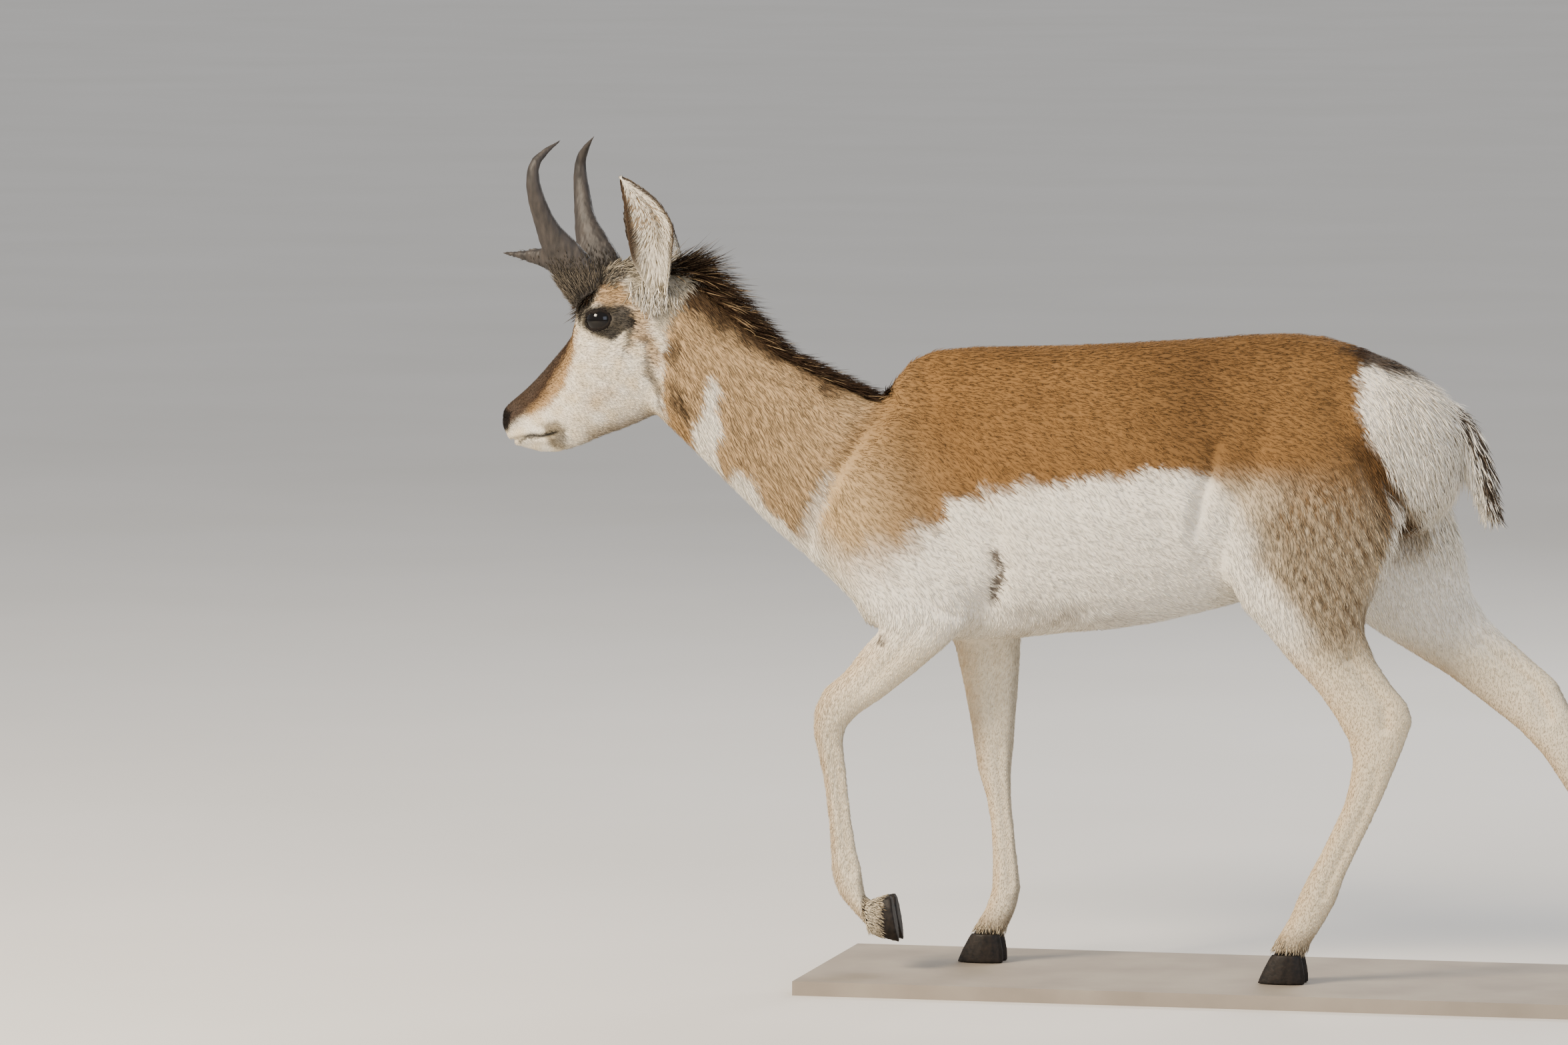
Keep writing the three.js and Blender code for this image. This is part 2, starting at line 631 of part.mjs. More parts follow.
function addBase() {
  const mesh = new THREE.Mesh(new THREE.BoxGeometry(BASE_LENGTH, BASE_WIDTH, BASE_THICK), baseBoard);
  mesh.name = "stand_base";
  mesh.position.set(BASE_CENTRE_X, 0, -BASE_THICK / 2);
  bodyGroup.add(mesh);
}

addTorso();
addNeck();
addHead();
addHorn("horn_left", -1);
addHorn("horn_right", 1);
EARS.forEach(addEar);
addTail();
LEGS.forEach(addLeg);
addBase();

// The origin is the middle of the whole at the underside of the base
model.updateMatrixWorld(true);
const bounds = new THREE.Box3().setFromObject(model, true);
const middle = bounds.getCenter(new THREE.Vector3());
bodyGroup.position.set(-middle.x, -middle.y, -bounds.min.z);

export default model;
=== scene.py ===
"""A life-size pronghorn buck in mid-stride: skin, coat, horns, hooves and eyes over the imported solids."""
import math

import bpy
import numpy as np
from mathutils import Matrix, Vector
from mathutils.kdtree import KDTree


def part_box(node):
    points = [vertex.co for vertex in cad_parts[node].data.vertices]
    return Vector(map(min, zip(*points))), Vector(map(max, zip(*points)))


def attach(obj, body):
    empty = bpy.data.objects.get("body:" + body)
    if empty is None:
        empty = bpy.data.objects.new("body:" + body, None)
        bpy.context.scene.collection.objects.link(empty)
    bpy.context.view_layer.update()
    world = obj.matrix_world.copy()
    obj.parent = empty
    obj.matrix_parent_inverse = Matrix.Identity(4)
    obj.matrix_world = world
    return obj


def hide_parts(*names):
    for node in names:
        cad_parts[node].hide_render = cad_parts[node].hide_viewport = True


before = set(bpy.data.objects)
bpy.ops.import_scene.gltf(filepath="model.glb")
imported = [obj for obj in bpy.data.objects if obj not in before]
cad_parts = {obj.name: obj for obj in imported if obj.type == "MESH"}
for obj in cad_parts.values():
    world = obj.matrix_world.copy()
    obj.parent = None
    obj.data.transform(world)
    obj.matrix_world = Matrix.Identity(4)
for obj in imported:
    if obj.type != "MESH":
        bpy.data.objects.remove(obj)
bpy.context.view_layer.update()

# Places are worked out in millimetres of the animal's own layout: x runs from nose to tail, the left
# side is -y and z is 0 on top of the stand. The stand shows where that layout lies in the scene.
STAND_CENTRE_X = 695.0
STAND_LOW, STAND_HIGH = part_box("stand_base")
ORIGIN = np.array([(STAND_LOW.x + STAND_HIGH.x) / 2 - STAND_CENTRE_X / 1000, 0.0, STAND_HIGH.z])

SIDES = {-1: "left", 1: "right"}

# Head frame: where the nape turns and how far the head looks to the animal's right
NAPE = np.array([-170.0, 0.0, 890.0])
HEAD_TURN = math.radians(9)
HEAD_COS, HEAD_SIN = math.cos(HEAD_TURN), math.sin(HEAD_TURN)
HEAD_AXES = np.array([[HEAD_COS, -HEAD_SIN, 0], [HEAD_SIN, HEAD_COS, 0], [0, 0, 1]])

EYE_AT = np.array([-81.0, 47.0, 18.5])
EYE_RADIUS = 21.0
EYE_TILT = math.radians(10)
SOCKET_RADIUS = 24.5
# How far from the ball's centre the skin counts as lids, and how deep it lies inside their opening
BESIDE_EYE, BEHIND_LIDS = 34.0, 17.0
LID_HALF_WIDTH, LID_RISE, LID_DROP = 17.6, 9.6, 11.0


def to_scene(points):
    return np.asarray(points, float) / 1000 + ORIGIN


def from_scene(points):
    return (np.asarray(points, float) - ORIGIN) * 1000


def to_head(points):
    return (points - NAPE) @ HEAD_AXES.T


def from_head(points):
    return np.asarray(points, float) @ HEAD_AXES + NAPE


def linear(code):
    """An sRGB hex colour as linear RGBA."""
    parts = [int(code[i : i + 2], 16) / 255 for i in (1, 3, 5)]
    return (*[c / 12.92 if c <= 0.04045 else ((c + 0.055) / 1.055) ** 2.4 for c in parts], 1.0)


def unit(v):
    return v / np.maximum(np.linalg.norm(v, axis=-1, keepdims=True), 1e-9)


def level(run, out, share=1.0):
    """Directions with the part that points along out taken off, wholly or by a share."""
    return unit(run - share * out * np.sum(run * out, 1, keepdims=True))


def mix(start, end, weight):
    return start * (1 - weight) + weight * end


def ease(low, high, value):
    """0 below low, 1 above high, smooth between."""
    t = np.clip((value - low) / (high - low), 0, 1)
    return t * t * (3 - 2 * t)


def along(table, value):
    """A curve through (place, height) pairs."""
    return np.interp(value, *zip(*table))


def bell(value, centre, reach):
    """1 at the centre, falling away smoothly."""
    return np.exp(-(((value - centre) / reach) ** 2))


def ripple(points, size, seed, waves=7):
    """Smooth seeded unevenness from about -1 to 1, with features of the given size."""
    rng = np.random.default_rng(seed)
    total = np.zeros(len(points))
    for k in unit(rng.normal(size=(waves, 3))) * rng.uniform(0.6, 1.7, (waves, 1)) * 2 * math.pi / size:
        total += np.sin(points @ k + rng.uniform(0, 2 * math.pi))
    return total / math.sqrt(waves)


def line_distance(u, v, points):
    """Distance to an open line of points."""
    nearest = np.full(len(u), 1e9)
    for (ax, az), (bx, bz) in zip(points[:-1], points[1:]):
        dx, dz = bx - ax, bz - az
        t = np.clip(((u - ax) * dx + (v - az) * dz) / (dx * dx + dz * dz), 0, 1)
        nearest = np.minimum(nearest, np.hypot(u - ax - t * dx, v - az - t * dz))
    return nearest


def polygon_distance(u, v, corners):
    """Signed distance to a closed outline, above 0 inside it."""
    corners = [*corners, corners[0]]
    inside = np.zeros(len(u), bool)
    for (ax, az), (bx, bz) in zip(corners[:-1], corners[1:]):
        crosses = (az > v) != (bz > v)
        inside ^= crosses & (u < ax + (bx - ax) * (v - az) / (bz - az or 1e-9))
    nearest = line_distance(u, v, corners)
    return np.where(inside, nearest, -nearest)


# Scene helpers


def linked(name, data):
    made = bpy.data.objects.new(name, data)
    bpy.context.scene.collection.objects.link(made)
    return made


def only(obj):
    """Makes obj the one selected and active object."""
    bpy.ops.object.select_all(action="DESELECT")
    obj.select_set(True)
    bpy.context.view_layer.objects.active = obj


def joined(objects):
    """Several objects made one, as the first of them."""
    bpy.ops.object.select_all(action="DESELECT")
    for obj in objects:
        obj.select_set(True)
    bpy.context.view_layer.objects.active = objects[0]
    if len(objects) > 1:
        bpy.ops.object.join()
    return objects[0]


def on_whole_mesh(obj, operator, **settings):
    """Runs an edit-mode operator with every vertex selected."""
    only(obj)
    bpy.ops.object.mode_set(mode="EDIT")
    bpy.ops.mesh.select_all(action="SELECT")
    operator(**settings)
    bpy.ops.object.mode_set(mode="OBJECT")


def smooth_shaded(obj):
    only(obj)
    bpy.ops.object.shade_smooth()


def copied(nodes, name):
    """Copies of CAD nodes, joined into one object."""
    copies = []
    for node in nodes:
        twin = linked(name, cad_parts[node].data.copy())
        twin.data.materials.clear()
        copies.append(twin)
    whole = joined(copies)
    on_whole_mesh(whole, bpy.ops.mesh.remove_doubles, threshold=0.00002)
    whole.name = name
    return whole


def apply_modifier(obj, kind, **settings):
    only(obj)
    made = obj.modifiers.new(kind.title(), kind)
    for key, value in settings.items():
        setattr(made, key, value)
    bpy.ops.object.modifier_apply(modifier=made.name)


def resurface(obj, voxel_mm, smoothing=0):
    """One even closed surface instead of the faces of the solids."""
    apply_modifier(obj, "REMESH", mode="VOXEL", voxel_size=voxel_mm / 1000)
    if smoothing:
        apply_modifier(obj, "SMOOTH", factor=0.5, iterations=smoothing)


def read(collection, key, width, kind=np.float32):
    """One property of every element of a mesh, a row for each."""
    values = np.zeros(len(collection) * width, kind)
    collection.foreach_get(key, values)
    return values.reshape(-1, width)


def places(obj):
    """Vertex places in layout millimetres."""
    return from_scene(read(obj.data.vertices, "co", 3))


def set_places(obj, points):
    obj.data.vertices.foreach_set("co", to_scene(points).astype(np.float32).ravel())
    obj.data.update()


def normals(obj):
    return read(obj.data.vertex_normals, "vector", 3).astype(float)


def mesh_object(name, points, faces):
    """An object from layout points and a list of faces."""
    data = bpy.data.meshes.new(name)
    data.from_pydata(to_scene(points).tolist(), [], faces)
    data.update()
    return linked(name, data)


def ring_faces(count, around, closed=False):
    """Quads between each ring and the next."""
    faces = []
    for i in range(count if closed else count - 1):
        a, b = i * around, (i + 1) % count * around
        for k in range(around):
            nxt = (k + 1) % around
            faces.append([a + k, a + nxt, b + nxt, b + k])
    return faces


def eyeball(side, radius_mm, segments, rings):
    """A ball at the place of one eye."""
    centre = to_scene(from_head(EYE_AT * [1, side, 1]))
    radius = radius_mm / 1000
    bpy.ops.mesh.primitive_uv_sphere_add(segments=segments, ring_count=rings, radius=radius, location=centre)
    bpy.ops.object.transform_apply(location=True, rotation=True, scale=True)
    return bpy.context.object


def unwrap(obj):
    """The bake's map, from the piece's own shape."""
    while obj.data.uv_layers:
        obj.data.uv_layers.remove(obj.data.uv_layers[0])
    obj.data.uv_layers.new(name="OFBake")
    on_whole_mesh(obj, bpy.ops.uv.smart_project, angle_limit=math.radians(66), island_margin=0.003)


def paint(obj, colours):
    """Marking colours, one for each vertex."""
    layer = obj.data.color_attributes.new("coat_colour", "FLOAT_COLOR", "POINT")
    rgba = np.concatenate([colours, np.ones((len(colours), 1))], 1)
    layer.data.foreach_set("color", rgba.astype(np.float32).ravel())


def finished(obj, material, replaces=()):
    obj.data.materials.clear()
    obj.data.materials.append(material)
    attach(obj, "root")
    if replaces:
        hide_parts(*replaces)
    return obj


# Materials


def add(tree, kind, values=None, links=None, **settings):
    """A node with its settings, socket values and incoming links."""
    made = tree.nodes.new(kind)
    for key, value in settings.items():
        setattr(made, key, value)
    for key, value in (values or {}).items():
        made.inputs[key].default_value = value
    for key, socket in (links or {}).items():
        tree.links.new(socket, made.inputs[key])
    return made


def node_material(name, roughness, specular):
    made = bpy.data.materials.new(name)
    made.use_nodes = True
    tree = made.node_tree
    tree.nodes.clear()
    values = {"Roughness": roughness, "Specular IOR Level": specular}
    shader = add(tree, "ShaderNodeBsdfPrincipled", values)
    add(tree, "ShaderNodeOutputMaterial", links={"Surface": shader.outputs[0]})
    return made, tree, shader


def grain(tree, size_mm, detail=3.0, stretch=(1, 1, 1)):
    """Noise of the given size in the object's own coordinates."""
    where = add(tree, "ShaderNodeTexCoord")
    scaled = add(tree, "ShaderNodeMapping", {"Scale": stretch}, {"Vector": where.outputs["Object"]})
    values = {"Scale": 1000 / size_mm, "Detail": detail}
    return add(tree, "ShaderNodeTexNoise", values, {"Vector": scaled.outputs[0]})


def bump(tree, shader, source, depth_mm, strength=1.0):
    values = {"Strength": strength, "Distance": depth_mm / 1000}
    made = add(tree, "ShaderNodeBump", values, {"Height": source})
    tree.links.new(made.outputs[0], shader.inputs["Normal"])


def coat_material(name, roughness):
    """Short hair: the marking colours, with each hair a little lighter or darker."""
    made, tree, shader = node_material(name, roughness, 0.12)
    colour = add(tree, "ShaderNodeAttribute", attribute_name="coat_colour")
    fleck = grain(tree, 5.0, 4.0)
    shade = add(tree, "ShaderNodeMapRange", {"To Min": 0.72, "To Max": 1.22}, {"Value": fleck.outputs[0]})
    sources = {0: colour.outputs["Color"], "Scale": shade.outputs[0]}
    mixed = add(tree, "ShaderNodeVectorMath", links=sources, operation="SCALE")
    tree.links.new(mixed.outputs[0], shader.inputs["Base Color"])
    bump(tree, shader, fleck.outputs[0], 0.6, 0.5)
    return made


def plain_material(name, dark, light, roughness, size_mm, depth_mm, specular=0.5, stretch=(1, 1, 1)):
    made, tree, shader = node_material(name, roughness, specular)
    noise = grain(tree, size_mm, 5.0, stretch)
    ramp = add(tree, "ShaderNodeValToRGB", links={"Fac": noise.outputs[0]})
    for stop, place, colour in zip(ramp.color_ramp.elements, (0.3, 0.7), (dark, light)):
        stop.position, stop.color = place, linear(colour)
    tree.links.new(ramp.outputs[0], shader.inputs["Base Color"])
    if depth_mm:
        bump(tree, shader, noise.outputs[0], depth_mm)
    return made


SKIN = coat_material("Deer hide under short hair", 0.85)
HAIR = coat_material("Deer guard hair", 0.82)
HORN = plain_material("Pronghorn horn sheath", "#1d1a18", "#3d3732", 0.55, 9.0, 1.2, 0.4, (1, 1, 0.25))
HOOF = plain_material("Hoof horn", "#0c0a08", "#241d17", 0.55, 6.0, 0.5, 0.25)
EYE = plain_material("Wet dark eye", "#040302", "#0c0705", 0.04, 14.0, 0, 0.3)
LID = plain_material("Dark eyelid skin", "#0d0a08", "#1c1612", 0.75, 3.0, 0.3, 0.15)
BOARD = plain_material("Painted museum board", "#83796c", "#968c7e", 0.65, 120.0, 0.05)
FLOOR = plain_material("Matt pale floor", "#cfccc6", "#d4d1cc", 0.9, 900.0, 0)

# Skin

# The neck's crest and the crown by x: height, half width, and how far the side drops
HEAD_ROOF = [(-300, 925), (-257, 983), (-224, 989), (-195, 988), (-165, 987), (-131, 984), (-64, 921)]
CREST = HEAD_ROOF + [(4, 866), (76, 831), (131, 806), (146, 812), (168, 855), (216, 877), (260, 882)]
CREST_HALF_WIDTH = [(-300, 40), (-200, 50), (-131, 52), (4, 64), (131, 80), (216, 78)]
CREST_DROP = [(-300, 60), (-200, 85), (-131, 110), (4, 100), (131, 120), (216, 150)]
# The forehead in the head frame: z, and x of its front
FOREHEAD = [(-60, -150), (-29, -162), (-9, -144), (9, -132), (40, -124), (76, -112), (97, -88), (110, -60)]


def core(points):
    """Brings what the hair in the solids raises back onto the neck, the crown and the forehead."""
    out = points.copy()
    side = np.abs(out[:, 1]) / along(CREST_HALF_WIDTH, out[:, 0])
    drop = along(CREST_DROP, out[:, 0]) * (1 - np.sqrt(np.maximum(0, 1 - np.minimum(side, 1) ** 2)))
    roof = along(CREST, out[:, 0]) - drop
    over = (out[:, 0] > -300) & (out[:, 0] < 240) & (side < 0.9) & (out[:, 2] > roof)
    out[over, 2] = roof[over]
    head = to_head(out)
    front = along(FOREHEAD, head[:, 2]) + 10 * (np.abs(head[:, 1]) / 40) ** 2
    ahead = (head[:, 2] > 5) & (head[:, 0] < front) & (np.abs(head[:, 1]) < 36)
    head[ahead, 0] = front[ahead]
    return from_head(head)


LEGS = ("foreleg_left", "foreleg_right", "hindleg_left", "hindleg_right")
PIECES = ("upper", "middle", "cannon", "pastern")
FLESH = ["torso", "neck", "head", "tail"] + [f"{leg}_{piece}" for leg in LEGS for piece in PIECES]
# Rings of the dock: x, z and radius
DOCK = [(917, 802, 16), (946, 800, 19), (968, 776, 20), (984, 732, 17), (996, 690, 12), (1004, 662, 6)]
# Voxels in mm for joining the flesh and for the surface of each kind of piece
MERGE_VOXEL, SKIN_VOXEL, HORN_VOXEL, HOOF_VOXEL = 3.5, 5.4, 1.8, 1.6


def build_dock():
    """The dock under the hair of the tail: a closed tube of round rings."""
    around = 12
    turn = np.linspace(0, 2 * math.pi, around, endpoint=False)
    centres = np.array([[x, 0, z] for x, z, _ in DOCK], float)
    rings = []
    for centre, run, (_, _, radius) in zip(centres, unit(np.gradient(centres, axis=0)), DOCK):
        across, up = np.array([0, 1.0, 0]), np.cross(run, [0, 1.0, 0])
        rings.append(centre + np.outer(np.cos(turn), across) * radius + np.outer(np.sin(turn), up) * radius)
    last = (len(rings) - 1) * around
    caps = [list(range(around))[::-1], [last + k for k in range(around)]]
    return mesh_object("dock", np.vstack(rings), caps + ring_faces(len(rings), around))


def build_skin():
    skin = copied([n for n in FLESH if n != "tail"], "pronghorn_skin")
    set_places(skin, core(places(skin)))
    joined([skin, build_dock(), *[eyeball(side, SOCKET_RADIUS, 24, 16) for side in SIDES]])
    resurface(skin, MERGE_VOXEL)
    set_places(skin, core(places(skin)))
    resurface(skin, SKIN_VOXEL, 6)
    set_places(skin, core(places(skin)))
    refine(skin, lambda p: to_head(p)[:, 0] < 0)
    shape_skin(skin)
    smooth_shaded(skin)
    return skin


def refine(obj, chosen):
    """Splits the faces of a region for finer shaping."""
    mask = chosen(places(obj))
    only(obj)
    bpy.ops.object.mode_set(mode="EDIT")
    bpy.ops.mesh.select_all(action="DESELECT")
    bpy.ops.object.mode_set(mode="OBJECT")
    for face in obj.data.polygons:
        face.select = bool(all(mask[v] for v in face.vertices))
    bpy.ops.object.mode_set(mode="EDIT")
    bpy.ops.mesh.select_mode(type="FACE")
    bpy.ops.mesh.subdivide(number_cuts=1, smoothness=0.6)
    bpy.ops.mesh.select_mode(type="VERT")
    bpy.ops.object.mode_set(mode="OBJECT")


# Depth of the hair on the head, by x in the head frame
FACE_DEPTH = [(-250, 0.6), (-120, 1.5), (0, 4), (30, 7)]


def coat_depth(points):
    """How far the skin lies inside the outline of the hair, in mm."""
    depth = 2.0 + 5.0 * ease(420, 620, points[:, 2])
    head_x = to_head(points)[:, 0]
    return np.where(head_x < 30, np.minimum(depth, along(FACE_DEPTH, head_x)), depth)


# Line of the lips in the head frame
MOUTH = [(-262, -164), (-238, -161), (-220, -156), (-203, -152), (-184, -153), (-160, -146)]
# Soft swellings and hollows of the sides: x, z, reach in x, reach in z, height
RELIEF = [
    (150, 700, 55, 90, 5), (105, 600, 45, 40, 5), (640, 830, 60, 45, -8), (800, 862, 34, 20, 5),
    (780, 700, 70, 80, 5), (664, 645, 34, 60, 5), (-20, 720, 90, 40, 3), (284, 556, 30, 34, 7),
    (592, 650, 16, 50, 5), (470, 640, 150, 60, 3),
]
# Grooves of the sides: places along them, depth, reach, and which side has them (0 for both)
GROOVES = [
    ([(160, 800), (104, 720), (64, 650), (44, 600)], 5, 15, 0),
    ([(206, 850), (240, 770), (284, 690), (322, 630), (330, 570), (312, 520)], 7, 19, 0),
    ([(633, 748), (630, 715), (620, 688), (604, 632)], 6.5, 12, 0),
    ([(800, 800), (842, 730), (872, 650)], 4, 18, 0),
    ([(700, 560), (735, 640), (770, 720)], 3, 18, 0),
    ([(185, 560), (225, 520), (262, 505)], 3.5, 10, -1),
    ([(217, 492), (176, 440), (136, 402)], 3, 8, -1),
    ([(84, 330), (90, 304), (95, 269), (101, 214), (108, 166), (114, 138)], 3.4, 6, -1),
    ([(825, 456), (851, 421), (873, 392), (874, 362)], 6, 9, -1),
    ([(860, 300), (861, 288), (849, 253), (833, 221), (815, 183), (799, 151), (789, 124)], 3.4, 6.5, -1),
    ([(292, 456), (295, 391), (297, 345)], 3, 8, 1),
    ([(301, 306), (301, 273), (305, 236), (310, 194), (314, 147), (317, 110)], 3.4, 6, 1),
    ([(985, 470), (1023, 440), (1061, 410), (1080, 368)], 6, 9, 1),
    ([(1118, 310), (1130, 286), (1149, 249), (1173, 199), (1194, 157)], 3.4, 6.5, 1),
]
RIB_SPACING = 40.0


def shape_skin(skin):
    out = normals(skin)
    points = places(skin)
    points = points - out * coat_depth(points)[:, None]
    x, y, z = points.T
    lift = np.zeros(len(points))
    broad = ease(0.2, 0.6, np.abs(out[:, 1]))
    for centre_x, centre_z, reach_x, reach_z, height in RELIEF:
        lift += height * broad * np.exp(-(((x - centre_x) / reach_x) ** 2) - ((z - centre_z) / reach_z) ** 2)
    for line, depth, reach, side in GROOVES:
        here = broad if side == 0 else broad * (y * side > 0)
        lift -= depth * here * bell(line_distance(x, z, line), 0, reach)
    ribs = np.sin((x + 0.35 * z) * 2 * math.pi / RIB_SPACING)
    barrel = ease(300, 380, x) * ease(580, 500, x) * ease(600, 680, z) * ease(840, 780, z)
    lift += 0.9 * ribs * barrel * broad
    head = to_head(points)
    x, y, z = head[:, 0], np.abs(head[:, 1]), head[:, 2]
    muzzle = ease(-150, -165, x)
    groove = line_distance(x, z, MOUTH)
    lift += muzzle * (-3.0 * bell(groove, 0, 2.4) + 1.4 * bell(groove, 6, 4))
    nostril = np.hypot((x + 243) / 8, (z + 127) / 4.5) + ((y - 15) / 9) ** 2
    lift -= 5.0 * bell(nostril, 0, 1) * (x < -215)
    set_places(skin, open_eyes(points + out * lift[:, None]))


def eye_angles(head, side):
    """Polar angle from straight out of the eye, and the turn round it, for points in the head frame."""
    offset = head - EYE_AT * [1, side, 1]
    tilted_x = offset[:, 0] * math.cos(EYE_TILT) + offset[:, 2] * math.sin(EYE_TILT)
    tilted_z = -offset[:, 0] * math.sin(EYE_TILT) + offset[:, 2] * math.cos(EYE_TILT)
    across = np.hypot(tilted_x, tilted_z)
    return offset, np.arctan2(across, offset[:, 1] * side), np.arctan2(tilted_z, tilted_x)


def lid_angle(turn):
    """Half opening of the lids, as an angle of the eyeball, by the turn round it."""
    flat, up = LID_HALF_WIDTH * np.cos(turn), np.sin(turn)
    rise = np.where(up > 0, LID_RISE, LID_DROP) * np.sign(up) * np.abs(up) ** 1.3
    return np.arcsin(np.clip(np.hypot(flat, rise) / EYE_RADIUS, 0, 0.98))


def open_eyes(points):
    """Presses the skin inside the lids back behind the front of the ball."""
    head = to_head(points)
    for side in SIDES:
        offset, polar, turn = eye_angles(head, side)
        reach = np.linalg.norm(offset, axis=1)
        near = (reach < BESIDE_EYE) & (polar < lid_angle(turn) + 0.1)
        inner = np.where(near, np.minimum(reach, BEHIND_LIDS), reach)
        head = np.where(near[:, None], EYE_AT * [1, side, 1] + unit(offset) * inner[:, None], head)
    return from_head(head)


def build_eye(side):
    eye = eyeball(side, EYE_RADIUS, 48, 32)
    eye.name = "eyeball_" + SIDES[side]
    bpy.ops.object.shade_smooth()
    finished(eye, EYE, ["eye_" + SIDES[side]])


# The lids in section: distance past the opening on the ball and from its centre
LID_RINGS = [(-0.9, 20.6), (-0.3, 21.3), (0.3, 21.9), (1.3, 22.6), (3.0, 23.2), (5.5, 22.6), (8.0, 20.8)]


def build_lids(side):
    """The rim of the eyelids: a rounded band on the ball, round the almond opening."""
    turn = np.linspace(0, 2 * math.pi, 56, endpoint=False)
    rings = []
    for spread, radius in LID_RINGS:
        polar = lid_angle(turn) + spread / EYE_RADIUS
        flat, up = np.sin(polar) * np.cos(turn), np.sin(polar) * np.sin(turn)
        x = flat * math.cos(EYE_TILT) - up * math.sin(EYE_TILT)
        z = flat * math.sin(EYE_TILT) + up * math.cos(EYE_TILT)
        ring = EYE_AT * [1, side, 1] + np.stack([x, side * np.cos(polar), z], 1) * radius
        rings.append(from_head(ring))
    faces = [face[::-side] for face in ring_faces(len(rings), len(turn), closed=True)]
    lids = mesh_object("eyelids_" + SIDES[side], np.vstack(rings), faces)
    on_whole_mesh(lids, bpy.ops.mesh.normals_make_consistent, inside=False)
    smooth_shaded(lids)
    finished(lids, LID)


def build_horn(name):
    horn = copied([name], name + "_sheath")
    resurface(horn, HORN_VOXEL, 26)
    points, out = places(horn), normals(horn)
    low = 1 - ease(90, 160, to_head(points)[:, 2])
    rough = ripple(points * [1, 1, 0.3], 7, 5) * 0.5 + ripple(points, 16, 6) * 0.5
    points += out * (rough * (0.25 + 0.55 * low))[:, None]
    set_places(horn, points)
    smooth_shaded(horn)
    return finished(horn, HORN, [name])


# Where each hoof begins: centre, way down the hoof, radius
CORONETS = {
    "foreleg_left": ((150, -62, 84), (0.9, 0.0, -0.42), 25),
    "foreleg_right": ((282, 60, 44), (-0.25, 0.0, -0.97), 25),
    "hindleg_left": ((738, -72, 46), (-0.2, 0.0, -0.98), 26),
    "hindleg_right": ((1174, 72, 46), (-0.2, 0.0, -0.98), 26),
}


def grow_coronets():
    """Longer hair of the pasterns that falls over the top of the hooves."""
    rng = np.random.default_rng(404)
    count = CORONET_LOCKS
    sets = []
    for centre, axis, radius in CORONETS.values():
        axis = unit(np.array(axis, float))
        turn = rng.uniform(0, 2 * math.pi, count)
        across = unit(np.cross([0, 1.0, 0], axis))
        out = np.outer(np.cos(turn), across) + np.outer(np.sin(turn), [0, 1.0, 0])
        start = np.array(centre, float) + out * radius * 0.8 - np.outer(rng.uniform(0, 15, count), axis)
        place, normal, uv = nearest_on(skin, start)
        run = level(np.tile(axis, (count, 1)) + 0.1 * out, normal, 0.6)
        colour = blend(np.tile(CREAM * 0.85, (count, 1)), DUSK * 0.8, rng.uniform(0, 0.9, count))
        sets.append((place, run, normal, uv, colour))
    place, run, normal, uv, colour = (np.concatenate(k) for k in zip(*sets))
    length = np.where(place[:, 0] < 200, 18.0, 12.0) * rng.uniform(0.5, 1.2, len(place))
    grow_locks("coronet_hair", rng, (place, run, normal, uv), length, 1.3, 8, colour, 4)


def cover_hoof(hoof, name):
    """Flat pastern hair over the upper part of the lifted hoof."""
    unwrap(hoof)
    axis = unit(np.array(CORONETS["foreleg_left"][1], float))
    top = places(hoof)[:, 0].min()
    place, out, uv, rng = sow(
        hoof,
        601 if name.endswith("a") else 602,
        lambda centre: np.full(len(centre), 3.2),
        lambda centre, normal: ease(30, 20, centre[:, 0] - top) * (np.abs(normal @ axis) < 0.8),
    )
    count = len(place)
    run = level(np.tile(axis, (count, 1)), out)
    dusk = ease(5, 32, place[:, 0] - top) * rng.uniform(0.3, 1, count)
    colour = blend(np.tile(CREAM * 0.9, (count, 1)), DUSK * 0.8, dusk)
    spots = place, run, out, uv
    grow_locks(name + "_hair", rng, spots, 9, 1.2, 10, colour, 3, curl=0.08)


def build_hooves(leg):
    for claw in ("claw_a", "claw_b"):
        node = f"{leg}_{claw}"
        hoof = copied([node], node + "_horn")
        resurface(hoof, HOOF_VOXEL, 3)
        smooth_shaded(hoof)
        if leg == "foreleg_left":
            cover_hoof(hoof, node)
        finished(hoof, HOOF, [node])


# Ears in the head frame, root to tip: the middle of the leaf, half its width and how deep it cups.
# EARS adds the way each cup opens.
EAR_LEFT = [
    (8, -44, 52, 11, 15), (7, -54, 76, 20, 20), (5, -65, 104, 32, 24),
    (8, -75, 130, 37.5, 24), (9, -81, 152, 38.5, 21), (0, -87, 182, 30, 14),
    (-14, -90, 204, 18, 7), (-25, -92, 217, 7, 2.5), (-30, -92, 222, 0.6, 0.2),
]
EAR_RIGHT = [
    (-4, 44, 52, 11, 15), (-14, 50, 72, 20, 20), (-30, 55, 98, 31, 23),
    (-43, 58, 120, 35, 22), (-52, 60, 140, 35, 19), (-66, 62, 166, 27, 13),
    (-75, 63, 184, 15, 7), (-80, 64, 194, 6, 2.5), (-82, 64, 198, 0.6, 0.2),
]
EARS = {"ear_left": (EAR_LEFT, (-0.2, -0.97, 0.1)), "ear_right": (EAR_RIGHT, (-0.75, 0.66, 0.1))}


